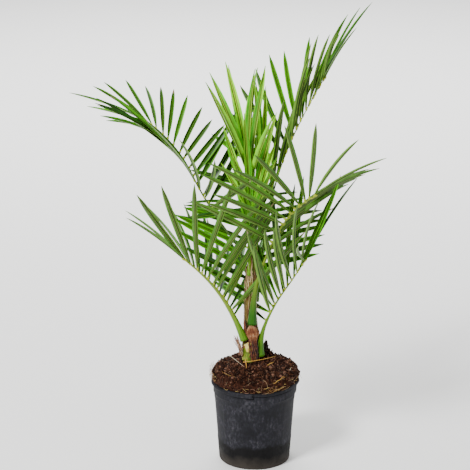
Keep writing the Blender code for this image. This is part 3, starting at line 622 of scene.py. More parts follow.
def fibre_materials(kind, tones, roughness=0.7):
    """Dry plant fibre: for each tone one base colour with a little unevenness along it."""
    kinds = []
    for tone, code in tones.items():
        made, tree, shader, place, _ = new_material(kind + "_" + tone)
        uneven = add_node(tree, "ShaderNodeTexNoise", {
            "Vector": place, "Scale": 1 / (4 * MM), "Detail": 3.0})
        mixed = add_node(tree, "ShaderNodeMix", {
            "Factor": 0.35, 6: linear(code), 7: uneven.outputs["Color"]},
            data_type="RGBA", blend_type="OVERLAY")
        set_shader(tree, shader, mixed.outputs[2], roughness)
        kinds.append(made)
    return kinds


def leaf_material(name, blade, midrib_and_highlight, roughness, side_light_share=0.40):
    """Waxy palm leaf: long fine veins in its bump, painted bands of light and shade as if lit from one
    side, a paler fold line that is partly painted highlight, painted shade beside the fold and a satin
    shine.
    """
    made, tree, shader, place, flat = new_material(name)
    across = add_node(tree, "ShaderNodeSeparateXYZ", {"Vector": flat}).outputs["X"]
    turns = add_node(tree, "ShaderNodeMath", {0: across, 1: VEIN_AND_SIDE_LIGHT_LANES * 2 * math.pi}, operation="MULTIPLY")
    vein_and_side_light = add_node(tree, "ShaderNodeMath", {0: turns.outputs[0]}, operation="SINE")
    from_fold = add_node(tree, "ShaderNodeMath", {0: across, 1: 0.5}, operation="SUBTRACT")
    off_fold = add_node(tree, "ShaderNodeMath", {0: from_fold.outputs[0]}, operation="ABSOLUTE")
    # paler fold line: partly the midrib's own colour, partly a painted highlight
    fold = add_node(tree, "ShaderNodeMapRange", {
        "Value": off_fold.outputs[0], "From Min": 0.015, "From Max": 0.055, "To Min": 1.0, "To Max": 0.0})
    cloud = add_node(tree, "ShaderNodeTexNoise", {
        "Vector": place, "Scale": 1 / (22 * MM), "Detail": 4.0, "Roughness": 0.6})
    dark, light = blade
    tone = add_node(tree, "ShaderNodeValToRGB", {"Fac": cloud.outputs["Fac"]}, stops=(
        (0.30, dark), (0.72, light)))
    # painted light and shade: the pale highlight colour is mixed in along the waves, so each half of the
    # blade has a lit and a shaded band as if lit from one side
    side_lit = add_node(tree, "ShaderNodeMapRange", {
        "Value": vein_and_side_light.outputs[0], "From Min": -1.0, "From Max": 1.0, "To Min": 0.0, "To Max": side_light_share})
    side_lit_tone = add_node(tree, "ShaderNodeMix", {
        "Factor": side_lit.outputs[0], 6: tone.outputs["Color"], 7: linear(midrib_and_highlight)}, data_type="RGBA")
    # painted shade: darker beside the fold, where the folded blade shades itself, and brighter towards the
    # margins
    painted_fold_shade = add_node(tree, "ShaderNodeMapRange", {
        "Value": off_fold.outputs[0], "From Min": 0.08, "From Max": 0.34, "To Min": 0.15, "To Max": 1.6})
    fold_shaded = add_node(tree, "ShaderNodeHueSaturation", {
        "Hue": 0.51, "Value": painted_fold_shade.outputs[0], "Color": side_lit_tone.outputs[2]})
    folded = add_node(tree, "ShaderNodeMix", {
        "Factor": fold.outputs[0], 6: fold_shaded.outputs["Color"], 7: linear(midrib_and_highlight)}, data_type="RGBA")
    bump = add_node(tree, "ShaderNodeBump", {
        "Height": vein_and_side_light.outputs[0], "Strength": 0.35, "Distance": 0.2 * MM})
    set_shader(tree, shader, folded.outputs[2], roughness, bump.outputs[0], 0.24)
    return made


def rib_material(name, upper, foot):
    """Palm leaf stalk: smooth and firm, streaked along its length, greener at its foot."""
    made, tree, shader, _, flat = new_material(name)
    long_way = add_node(tree, "ShaderNodeMapping", {"Vector": flat, "Scale": (9.0, 1.4, 1.0)})
    streaks = add_node(tree, "ShaderNodeTexNoise", {
        "Vector": long_way.outputs[0], "Scale": 1.6, "Detail": 4.0, "Roughness": 0.6})
    above, below = (add_node(tree, "ShaderNodeValToRGB", {"Fac": streaks.outputs["Fac"]}, stops=(
        (0.34, dark), (0.66, light))) for dark, light in (upper, foot))
    along = add_node(tree, "ShaderNodeSeparateXYZ", {"Vector": flat}).outputs["Y"]
    near_foot = add_node(tree, "ShaderNodeMapRange", {
        "Value": along, "From Min": 0.06, "From Max": 0.40, "To Min": 1.0, "To Max": 0.0})
    tone = add_node(tree, "ShaderNodeMix", {
        "Factor": near_foot.outputs[0], 6: above.outputs["Color"], 7: below.outputs["Color"]},
        data_type="RGBA")
    bump = add_node(tree, "ShaderNodeBump", {
        "Height": streaks.outputs["Fac"], "Strength": 0.25, "Distance": 0.4 * MM})
    set_shader(tree, shader, tone.outputs[2], 0.42, bump.outputs[0], 0.2)
    return made


def sheath_material(name, stops, roughness=0.85):
    """Dry leaf sheath: papery, with coarse fibres that run up the stem."""
    made, tree, shader, place, _ = new_material(name)
    upward = add_node(tree, "ShaderNodeMapping", {"Vector": place, "Scale": (1.0, 1.0, 0.11)})
    fibres = add_node(tree, "ShaderNodeTexNoise", {
        "Vector": upward.outputs[0], "Scale": 1 / SHEATH_FIBRE_GAP, "Detail": 5.0, "Roughness": 0.68})
    patches = add_node(tree, "ShaderNodeTexNoise", {"Vector": place, "Scale": 1 / (16 * MM), "Detail": 3.0})
    both = add_node(tree, "ShaderNodeMix", {
        "Factor": 0.42, 2: fibres.outputs["Fac"], 3: patches.outputs["Fac"]}, data_type="FLOAT")
    tone = add_node(tree, "ShaderNodeValToRGB", {"Fac": both.outputs[0]}, stops=stops)
    bump = add_node(tree, "ShaderNodeBump", {
        "Height": fibres.outputs["Fac"], "Strength": 0.8, "Distance": 0.8 * MM})
    set_shader(tree, shader, tone.outputs["Color"], roughness, bump.outputs[0], 0.3)
    return made


# Pot

def pot_profile():
    """Radius and height from the middle of the underside over the lip to the inner floor."""
    points = [(0.0, 0.0)]
    points += [(POT_BASE_RADIUS * share, 0.0) for share in (0.3, 0.6, 0.85)]
    for step in range(7):
        turn = math.pi / 2 * step / 6
        points.append((POT_BASE_RADIUS - POT_FOOT_ROUND * (1 - math.sin(turn)),
                       POT_FOOT_ROUND * (1 - math.cos(turn))))
    for row in range(1, POT_WALL_ROWS):
        share = row / POT_WALL_ROWS
        points.append((POT_BASE_RADIUS + (POT_NECK_RADIUS - POT_BASE_RADIUS) * share,
                       POT_FOOT_ROUND + (COLLAR_Z - POT_STEP - POT_FOOT_ROUND) * share))
    points += [(POT_NECK_RADIUS, COLLAR_Z - POT_STEP), (POT_COLLAR_RADIUS, COLLAR_Z + POT_STEP)]
    points += [(POT_COLLAR_RADIUS, COLLAR_Z + (LIP_Z - COLLAR_Z) * share) for share in (0.25, 0.5)]
    points += [(POT_COLLAR_RADIUS, LIP_Z - below) for below in COLLAR_ROWS]
    undercut = POT_COLLAR_RADIUS - LIP_UNDERCUT
    points += [(POT_COLLAR_RADIUS, LIP_Z - 2.2 * MM), (undercut, LIP_Z - 1.0 * MM),
               (undercut, LIP_Z + 0.2 * MM)]
    rolled = POT_LIP_RADIUS - POT_COLLAR_RADIUS
    points.append((POT_LIP_RADIUS - 0.8 * MM, LIP_Z - 0.1 * MM))
    for step in range(1, 9):
        turn = math.pi / 2 * step / 8
        points.append((POT_COLLAR_RADIUS + rolled * math.cos(turn) ** 0.6,
                       LIP_Z + POT_LIP_HEIGHT * math.sin(turn)))
    inner_radius = POT_COLLAR_RADIUS - POT_WALL
    points += [(inner_radius, POT_HEIGHT - 0.4 * MM), (inner_radius, COLLAR_Z + POT_STEP)]
    points += [(POT_NECK_RADIUS - POT_WALL, COLLAR_Z - POT_STEP),
               (POT_BASE_RADIUS - POT_WALL, POT_FLOOR), (0.0, POT_FLOOR)]
    return points


def turn_profile(points, turns):
    """Spin a profile that starts and ends on the axis into a closed body."""
    bm = bmesh.new()
    verts = [bm.verts.new((radius, 0.0, height)) for radius, height in points]
    edges = [bm.edges.new(pair) for pair in zip(verts, verts[1:])]
    bmesh.ops.spin(bm, geom=verts + edges, cent=(0, 0, 0), axis=(0, 0, 1), angle=2 * math.pi,
                   steps=turns, use_merge=True)
    bmesh.ops.remove_doubles(bm, verts=bm.verts, dist=0.02 * MM)
    return bm


def lip_overhang(azimuth):
    """Shares of the lip's full overhang and of its edge's full drop, in a direction."""
    if azimuth <= NICK_AZIMUTH:
        drop = max(azimuth - SKIRT_START, 0.0) / (NICK_AZIMUTH - SKIRT_START)
        return 1.0, drop
    return clamp((azimuth - FLAT_END) / FLAT_FADE), 0.0


def panel_depth(azimuth, height):
    """How far the wall is sunk between its seams."""
    from_seam = min(abs(turn_from(seam, azimuth)) for seam in PANEL_SEAMS)
    sunk = clamp((from_seam - PANEL_SEAM_HALF) / PANEL_SEAM_HALF)
    from_end = min(height - PANEL_LOW, PANEL_HIGH - height) / (2 * MM)
    return PANEL_DEPTH * sunk * clamp(from_end)


def mark_painted_lip_shadow(bm):
    """Give the second material, a painted shadow, to the narrow gap under the lip's overhang and the collar
    just below it.
    """
    for face in bm.faces:
        middle = face.calc_center_median()
        overhang, drop = lip_overhang(azimuth_of(middle))
        below = LIP_Z - SKIRT_DROP * drop - middle.z
        outside = POT_COLLAR_RADIUS - POT_WALL * 0.8 < middle.xy.length < POT_COLLAR_RADIUS + MM
        if outside and overhang > 0.5 and -0.5 * MM < below < LIP_SHADOW_DEPTH:
            # painted shadow under the lip, reaching down from its lower edge
            face.material_index = 1


def shape_pot(bm):
    """Sunk panels, the uneven lip and the side where the rim is pushed out."""
    for vert in bm.verts:
        radius = vert.co.xy.length
        if radius < POT_BASE_RADIUS * 0.9:
            continue
        azimuth = azimuth_of(vert.co)
        out = 0.0
        wall = POT_BASE_RADIUS + (POT_NECK_RADIUS - POT_BASE_RADIUS) * vert.co.z / COLLAR_Z
        if vert.co.z < COLLAR_Z and radius > wall - POT_WALL / 2:
            out -= panel_depth(azimuth, vert.co.z)
        if vert.co.z > COLLAR_Z:
            up = (vert.co.z - COLLAR_Z) / (POT_HEIGHT - COLLAR_Z)
            share = BULGE_FOOT_SHARE + (1 - BULGE_FOOT_SHARE) * up
            out += BULGE_OUT * share * hill(azimuth, BULGE_AZIMUTH, BULGE_SPAN)
        if vert.co.z > LIP_Z - 0.3 * MM and radius > POT_COLLAR_RADIUS + 0.1 * MM:
            overhang, drop = lip_overhang(azimuth)
            proud = radius - POT_COLLAR_RADIUS
            out -= proud * (1 - overhang) * FLAT_IN / (POT_LIP_RADIUS - POT_COLLAR_RADIUS)
            below = max(1 - (vert.co.z - LIP_Z) / (0.6 * POT_LIP_HEIGHT), 0.0)
            vert.co.z -= SKIRT_DROP * drop * below
            vert.co.z += 0.25 * MM * math.sin(math.radians(7 * azimuth + 40)) * below
        vert.co.x *= 1 + out / radius
        vert.co.y *= 1 + out / radius


def pot_cutters():
    """Drain holes and the nick as one set of closed bodies."""
    bm = bmesh.new()
    for i in range(DRAIN_COUNT):
        place = Matrix.Translation(polar(DRAIN_CIRCLE, 360.0 * i / DRAIN_COUNT, 0.0))
        bmesh.ops.create_cone(bm, cap_ends=True, segments=28, radius1=DRAIN_RADIUS, radius2=DRAIN_RADIUS,
                              depth=POT_FLOOR * 6, matrix=place)
    place = Matrix.Translation(polar(POT_COLLAR_RADIUS + NICK_SIZE[0] / 2, NICK_AZIMUTH, LIP_Z))
    turn = Matrix.Rotation(math.radians(NICK_AZIMUTH), 4, "Z")
    turn = turn @ Matrix.Rotation(math.radians(NICK_TILT), 4, "X")
    bmesh.ops.create_cube(bm, size=1.0, matrix=place @ turn @ Matrix.Diagonal((*NICK_SIZE, 1.0)))
    return bm


def cut_from(target, cutter_bm):
    """Take closed bodies away from a finished piece."""
    cutter = add_object("cutter", mesh_of(cutter_bm, "cutter"))
    step = target.modifiers.new("cut", "BOOLEAN")
    step.operation = "DIFFERENCE"
    step.object = cutter
    graph = bpy.context.evaluated_depsgraph_get()
    done = bpy.data.meshes.new_from_object(target.evaluated_get(graph))
    target.modifiers.clear()
    target.data = done
    bpy.data.objects.remove(cutter, do_unlink=True)
    done.shade_smooth()
    done.set_sharp_from_angle(angle=math.radians(POT_CREASE))


def make_pot():
    """Pot with its drain holes and the nick in its lip."""
    bm = turn_profile(pot_profile(), POT_TURNS)
    mark_painted_lip_shadow(bm)
    shape_pot(bm)
    # the second material is a painted shadow under the lip
    looks = [pot_material(), painted_lip_shadow_material()]
    pot = finish_piece(mesh_of(bm, "pot_shell"), looks, "pot_plastic", "pot")
    cut_from(pot, pot_cutters())


# Root ball

def soil_height(radius, azimuth):
    """Height of the root ball's crown at a place, level around the stem."""
    share = max((radius - SOIL_FLAT_RADIUS) / (SOIL_EDGE_RADIUS - SOIL_FLAT_RADIUS), 0.0)
    fall = (SOIL_EDGE_Z - SOIL_TOP_Z) * share ** SOIL_FALL
    behind = SOIL_BACK_RISE * max(math.sin(math.radians(azimuth)), 0.0)
    lumps = sum(rise * hill(azimuth, middle, span) for middle, span, _, rise in SOIL_HILLS)
    return SOIL_TOP_Z + fall + (behind + lumps + waves(SOIL_LUMPS, azimuth)) * share


def soil_lean(azimuth):
    """How far the root ball's edge leans out in a direction."""
    return sum(out * hill(azimuth, middle, span) for middle, span, out, _ in SOIL_HILLS)


def soil_profile():
    """Radius and height from the pot's floor up the wall and over the crown."""
    inset = POT_WALL + SOIL_WALL_GAP
    points = [(0.0, POT_FLOOR + 0.3 * MM), (POT_BASE_RADIUS - inset, POT_FLOOR + 0.3 * MM)]
    points += [(POT_NECK_RADIUS - inset, COLLAR_Z - 2 * POT_STEP),
               (POT_COLLAR_RADIUS - inset, COLLAR_Z + 2 * POT_STEP),
               (POT_COLLAR_RADIUS - inset, POT_HEIGHT + 0.5 * MM),
               (POT_LIP_RADIUS - 4 * MM, POT_HEIGHT + 0.9 * MM)]
    swollen = SOIL_EDGE_RADIUS + SOIL_SWELL
    points += [(swollen - 0.8 * MM, POT_HEIGHT + 2.6 * MM), (swollen, POT_HEIGHT + 4.6 * MM)]
    points += [(swollen, POT_HEIGHT + height) for height in (6.6 * MM, 8.6 * MM, 10.6 * MM, 12.6 * MM)]
    points += [(swollen - 0.9 * MM, POT_HEIGHT + 14.6 * MM), (swollen - 2.0 * MM, POT_HEIGHT + 16.4 * MM)]
    for row in range(SOIL_ROWS):
        radius = SOIL_EDGE_RADIUS * (1 - row / SOIL_ROWS)
        points.append((radius, SOIL_EDGE_Z))
    points.append((0.0, SOIL_TOP_Z))
    return points


def soil_relief(point):
    """How far the peat stands out or falls back at a place."""
    return sum(height * noise.noise(point / gap) for height, gap in SOIL_RELIEF)


def make_soil_body(surface):
    """Crown of coarse peat that hugs the lip and fills the pot below."""
    bm = turn_profile(soil_profile(), SOIL_TURNS)
    for vert in bm.verts:
        radius = vert.co.xy.length
        azimuth = azimuth_of(vert.co)
        if radius < SOIL_EDGE_RADIUS + 0.01 * MM and vert.co.z > POT_HEIGHT + 5 * MM:
            vert.co.z = soil_height(radius, azimuth)
            vert.co.z += soil_relief(vert.co)
            shoulder = radius / SOIL_EDGE_RADIUS
        elif vert.co.z > POT_HEIGHT + 2 * MM:
            shoulder = 1.0
        else:
            continue
        out = soil_lean(azimuth) * shoulder
        out += soil_relief(vert.co * 1.3) * 0.9 * shoulder
        stretch = 1 + out / max(radius, MM)
        vert.co.x *= stretch
        vert.co.y *= stretch
    finish_piece(mesh_of(bm, "root_ball_peat", NO_CREASE), [surface], "peat", "root_ball")


def random_turn(rng):
    """Rotation matrix in any direction."""
    axis = rng.normal(size=3)
    turn = Matrix.Rotation(rng.uniform(0, 2 * math.pi), 3, Vector(axis).normalized())
    return np.array(turn)


def soil_place(rng, inner, outer):
    """Random point on the crown, at an even density, or on its steep edge."""
    azimuth = rng.uniform(0, 360)
    radius = math.sqrt(rng.uniform(inner ** 2, outer ** 2))
    radius += soil_lean(azimuth) * radius / SOIL_EDGE_RADIUS
    if radius > SOIL_EDGE_RADIUS:
        radius = SOIL_EDGE_RADIUS + SOIL_SWELL * rng.uniform(0.1, 0.95)
        height = rng.uniform(POT_HEIGHT + 2.5 * MM, SOIL_EDGE_Z)
    else:
        height = soil_height(radius, azimuth)
    point = polar(radius, azimuth, height)
    point.z += soil_relief(point)
    return point, azimuth


def add_crumb(batch, crumb, rng, point, stretch):
    """Lay one uneven crumb, turned any way."""
    shape = crumb.points * rng.uniform(0.75, 1.25, (len(crumb.points), 1)) * stretch
    shape = shape @ random_turn(rng).T + np.array(point)
    look = int(rng.choice(len(CRUMB_SHARES), p=CRUMB_SHARES))
    batch.add(shape, crumb.faces, [look] * len(crumb.faces))


def make_crumbs(surfaces):
    """Loose crumbs of peat and bark that break up the crown's surface."""
    rng = np.random.default_rng(SEED)
    bm = bmesh.new()
    bmesh.ops.create_icosphere(bm, subdivisions=1, radius=1.0)
    crumb = template_of(bm)
    batch = Batch()
    for _ in range(CRUMB_COUNT):
        point, _ = soil_place(rng, 0.016, SOIL_EDGE_RADIUS + 6 * MM)
        size = CRUMB_SIZES[0] + (CRUMB_SIZES[1] - CRUMB_SIZES[0]) * rng.random() ** 3
        add_crumb(batch, crumb, rng, point, size * rng.uniform(0.6, 1.4, 3))
    for _ in range(HEAP_COUNT):
        away = rng.random()
        point = polar(HEAP_RADIUS * away, rng.uniform(0, 360), 0.0, Vector((*HEAP_MIDDLE, 0.0)))
        ground = soil_height(point.xy.length, azimuth_of(point))
        point.z = ground + HEAP_HEIGHT * (1 - away) * rng.uniform(0.1, 1.0)
        add_crumb(batch, crumb, rng, point,
                  rng.uniform(0.7, 1.7) * MM * np.array((0.7, 0.9, rng.uniform(0.8, 3.2))))
    for _ in range(CLOD_COUNT):
        middle, _ = soil_place(rng, 0.050, SOIL_EDGE_RADIUS)
        for _ in range(CLOD_CRUMBS):
            away = rng.random()
            point = polar(CLOD_RADIUS * away, rng.uniform(0, 360), 0.0, middle)
            point.z = middle.z + CLOD_HEIGHT * (1 - away) * rng.random()
            add_crumb(batch, crumb, rng, point, rng.uniform(0.9, 2.0) * MM * rng.uniform(0.5, 1.2, 3))
    finish_piece(batch.mesh("root_ball_crumbs"), surfaces, "peat")


def upright_rod(sides, cuts):
    """Rod of radius and height one around the origin, cut across into rows."""
    bm = bmesh.new()
    bmesh.ops.create_cone(bm, cap_ends=True, segments=sides, radius1=1.0, radius2=1.0, depth=1.0)
    long_edges = [edge for edge in bm.edges if abs(edge.verts[0].co.z - edge.verts[1].co.z) > 0.5]
    bmesh.ops.subdivide_edges(bm, edges=long_edges, cuts=cuts, use_grid_fill=True)
    return bm


def thread_template(rows, sides):
    """Rod along Z from 0 to 1, with so many rows and sides."""
    bm = upright_rod(sides, rows - 1)
    bmesh.ops.translate(bm, verts=bm.verts, vec=(0, 0, 0.5))
    return template_of(bm)


def add_thread(batch, rod, path, radius, look, flatness=1.0):
    """Lay a rod, thinner towards its end, along a path given as an array of points."""
    share = rod.points[:, 2]
    steps = np.linspace(0, 1, len(path))
    middle = np.stack([np.interp(share, steps, path[:, k]) for k in range(3)], 1)
    slope = np.gradient(path, axis=0)
    along = np.stack([np.interp(share, steps, slope[:, k]) for k in range(3)], 1)
    along /= np.linalg.norm(along, axis=1, keepdims=True)
    side = np.cross(along, (0.13, 0.21, 0.97))
    side /= np.linalg.norm(side, axis=1, keepdims=True)
    over = np.cross(side, along)
    thick = radius * (1 - 0.75 * share ** 3)[:, None]
    points = middle + side * rod.points[:, :1] * thick + over * rod.points[:, 1:2] * thick * flatness
    places = np.stack([rod.points[:, 0] * 0.5 + 0.5, share], 1)
    batch.add(points, rod.faces, [look] * len(rod.faces), places)


def make_fibres(surfaces):
    """Roots, coir and straw that lie in the peat and stick out at its edge."""
    rng = np.random.default_rng(SEED + 1)
    rod = thread_template(rows=6, sides=4)
    batch = Batch()
    for i in range(FIBRE_COUNT + RIM_FIBRE_COUNT):
        rim = i >= FIBRE_COUNT
        inner, beyond = (0.056, 4 * MM) if rim else (0.018, 2 * MM)
        start, azimuth = soil_place(rng, inner, SOIL_EDGE_RADIUS + beyond)
        heading = math.radians(azimuth + 90 + rng.uniform(-55, 55)) if rim else rng.uniform(0, 2 * math.pi)
        length = rng.uniform(4, 14 if rim else 9) * MM
        bend = rng.uniform(-1.6, 1.6)
        lift = rng.uniform(0.2, 1.0) * (1.5 if rim else 1.1) * MM
        path = []
        point = np.array(start)
        for step in range(8):
            share = step / 7
            turned = heading + bend * share
            point = point + np.array((math.cos(turned), math.sin(turned), 0.0)) * length / 7
            radius = math.hypot(point[0], point[1])
            held = min(radius, SOIL_EDGE_RADIUS)
            ground = soil_height(held, math.degrees(math.atan2(point[1], point[0])))
            low = ground - max(radius - SOIL_EDGE_RADIUS, 0.0) * 1.5
            height = low + soil_relief(Vector(point)) * 0.7 + lift + 1.4 * MM * math.sin(math.pi * share)
            path.append((point[0], point[1], height))
        look = int(rng.choice(len(surfaces), p=RIM_FIBRE_SHARES if rim else FIBRE_SHARES))
        thick = rng.uniform(0.14, 0.32) if rim else rng.uniform(0.10, 0.24)
        add_thread(batch, rod, np.array(path), thick * MM, look)
    finish_piece(batch.mesh("root_ball_fibres"), surfaces, "peat")


def make_tufts(surfaces):
    """Curls of fibre caught between the peat and the lip."""
    rng = np.random.default_rng(SEED + 3)
    rod = thread_template(rows=8, sides=4)
    batch = Batch()
    for azimuths, radii, heights, first_look, last_look in repeated(TUFTS):
        azimuth = rng.uniform(*azimuths)
        radius = rng.uniform(*radii)
        height = POT_HEIGHT + rng.uniform(*heights)
        span = rng.uniform(4, 11) * rng.choice((-1, 1))
        climb = rng.uniform(-3, 3) * MM
        curl = rng.uniform(0.6, 2.4) * MM
        first = rng.uniform(0, 2 * math.pi)
        path = []
        for share in np.linspace(0, 1, 12):
            bent = curl * math.sin(first + 4.0 * share)
            level = max(height + climb * share + bent, POT_HEIGHT + 0.4 * MM)
            path.append(polar(radius + 0.4 * bent, azimuth + span * share, level)[:])
        look = int(rng.integers(first_look, last_look + 1))
        add_thread(batch, rod, np.array(path), rng.uniform(0.14, 0.32) * MM, look)
    finish_piece(batch.mesh("root_ball_tufts"), surfaces, "peat")


def make_straws(surfaces):
    """Single long straws and roots that lie on the crown."""
    rod = thread_template(rows=14, sides=7)
    batch = Batch()
    for places, radius, look in STRAWS:
        path = []
        for share in np.linspace(0, 1, 15):
            first, middle, last = (Vector(place) for place in places)
            point = first.lerp(middle, share).lerp(middle.lerp(last, share), share)
            ground = soil_height(point.xy.length, azimuth_of(point)) + soil_relief(point)
            path.append((point.x, point.y, max(point.z, ground + STRAW_CLEARANCE)))
        add_thread(batch, rod, np.array(path), radius, look)
    finish_piece(batch.mesh("root_ball_straws"), surfaces, "peat")


# Stem and dry leaf bases

def stem_centre(height):
    """Point on the floor below the stem's middle at a height."""
    share = (height - STEM_LOW.z) / (STEM_HIGH.z - STEM_LOW.z)
    return Vector((blend(STEM_DRIFT, share), 0.0, 0.0))


def stem_radius(tree, azimuth, height):
    """The CAD stem's radius with fibres and slanting edges of old leaf bases."""
    level = min(max(height, STEM_LOW.z + 0.5 * MM), STEM_HIGH.z - 0.5 * MM)
    start = polar(0.0, 0.0, level, stem_centre(level))
    distance = tree.ray_cast(start, polar(1.0, azimuth, 0.0))[3]
    radius = (distance or STEM_INSET * 8) - STEM_INSET
    for edge_z, slant, step in STEM_EDGES:
        edge = edge_z + slant * math.sin(math.radians(azimuth + edge_z * 9000))
        below = (edge - height) / STEM_EDGE_FALL
        if 0 < below < 1:
            radius += step * (1 - below)
    radius += STEM_FIBRE_DEPTH * noise.noise(polar(radius, azimuth, height * 0.10) / STEM_FIBRE_GAP)
    return radius + 0.4 * MM * noise.noise(polar(radius, azimuth, height * 0.4) / (9 * MM))


def make_stem(surface, tree):
    """Stem with the relief of its fibres, inside the CAD stem's own shape."""
    bm = upright_rod(STEM_TURNS, STEM_ROWS)
    foot = STEM_LOW.z - 3 * MM
    for vert in bm.verts:
        azimuth = azimuth_of(vert.co)
        height = foot + (STEM_HIGH.z - foot) * (vert.co.z + 0.5)
        vert.co = polar(stem_radius(tree, azimuth, height), azimuth, height, stem_centre(height))
    finish_piece(mesh_of(bm, "stem_fibrous", SHEATH_CREASE), [surface], "stem_sheath", "stem")


def wrap_azimuth(wrap, side, up):
    """Direction of a place on a scrap, whose foot may be narrower than its top."""
    return blend(wrap.azimuths, 0.5 + (side - 0.5) * (1 - wrap.narrow * (1 - up)))


def wrap_crown(wrap, side):
    """Share of the full height that a scrap reaches at a place across it."""
    away = (side - wrap.peak) / (wrap.peak if side < wrap.peak else 1 - wrap.peak)
    return 1 - wrap.rounding * away ** 2


def cut_share(side, up):
    """One in the middle of the pointed face where the old leaf was cut off, zero outside it."""
    reach = CUT_HALF * (up - CUT_START) / (1 - CUT_START)
    reach += CUT_RAGGED * noise.noise(Vector((side * 9, up * 9, 3.0)))
    if reach < CUT_LEAST_WIDTH:
        return 0.0
    return clamp(1.5 * (1 - abs(side - CUT_MIDDLE) / reach))


def cut_zone(side, up):
    """Material of the cut leaf base: brown bark 0, green skin 1, cream pith 2."""
    if cut_share(side, up) > 0.15:
        return 2
    ragged = 0.12 * noise.noise(Vector((side * 7, up * 6, 8.0)))
    return 1 if side + ragged < SKIN_SIDE and up + ragged < SKIN_UP else 0


def make_wrap(name, wrap, surfaces):
    """A curved scrap of dry leaf base with a frayed upper edge."""
    is_cut = len(surfaces) > 1
    bm = bmesh.new()
    bmesh.ops.create_grid(bm, x_segments=WRAP_COLUMNS, y_segments=WRAP_ROWS, size=0.5)
    if is_cut:
        for face in bm.faces:
            middle = face.calc_center_median()
            face.material_index = cut_zone(middle.x + 0.5, middle.y + 0.5)
    for vert in bm.verts:
        side = vert.co.x + 0.5
        up = vert.co.y + 0.5
        azimuth = wrap_azimuth(wrap, side, up)
        crown = wrap_crown(wrap, side)
        frayed = wrap.ragged * noise.noise(Vector((side * 14, len(name), 0.0))) * up
        height = blend(wrap.heights, up * crown) + frayed
        radius = blend(wrap.radii, up) + wrap.thickness * 0.5
        radius += 0.4 * MM * noise.noise(Vector((side * 9, up * 2.5, len(name))))
        if is_cut:
            radius -= CUT_DEPTH * cut_share(side, up) * up
        vert.co = polar(radius, azimuth, height, stem_centre(height))
    bmesh.ops.recalc_face_normals(bm, faces=bm.faces)
    bmesh.ops.solidify(bm, geom=bm.faces[:], thickness=wrap.thickness)
    finish_piece(mesh_of(bm, name + "_frayed", SHEATH_CREASE), surfaces, wrap.slot, name)


def make_stem_threads(surfaces, tree):
    """Loose brown fibres and pale threads that cling to the stem and stand off it."""
    rng = np.random.default_rng(SEED + 2)
    rod = thread_template(rows=10, sides=4)
    batch = Batch()
    for lows, lengths, radii in repeated(STEM_THREADS):
        azimuth = rng.uniform(0, 360)
        low = rng.uniform(*lows)
        length = rng.uniform(*lengths)
        drift = rng.uniform(-28, 28)
        off = rng.uniform(0.1, 1.0) ** 3 * 7 * MM
        path = []
        for step in range(10):
            share = step / 9
            height = low + length * share
            turned = azimuth + drift * share
            radius = stem_radius(tree, turned, height) + 0.25 * MM + off * share ** 2.5
            path.append(polar(radius, turned, height, stem_centre(height))[:])
        add_thread(batch, rod, np.array(path), rng.uniform(*radii), int(rng.integers(0, len(surfaces))))
    finish_piece(batch.mesh("stem_threads"), surfaces, "stem_sheath")


def make_strips(surfaces):
    """Torn strips of dry sheath that stand off the stem's foot and its leaf bases."""
    rng = np.random.default_rng(SEED + 4)
    rod = thread_template(rows=9, sides=5)
    batch = Batch()
    for *ranges, first_look, last_look in repeated(STRIPS):
        azimuth, radius, height, tip_azimuth, tip_radius, tip_height = (
            rng.uniform(*pair) for pair in ranges)
        path = []
        for share in np.linspace(0, 1, 10):
            level = height + (tip_height - height) * share
            out = radius + (tip_radius - radius) * share ** 1.8
            turned = azimuth + (tip_azimuth - azimuth) * share + 3.0 * math.sin(5 * share + radius * 9000)
            path.append(polar(out, turned, level, stem_centre(level))[:])
        look = int(rng.integers(first_look, last_look + 1))
        add_thread(batch, rod, np.array(path), rng.uniform(0.7, 2.1) * MM, look, flatness=0.25)
    finish_piece(batch.mesh("stem_sheath_strips"), surfaces, "dry_sheath")


# Fronds

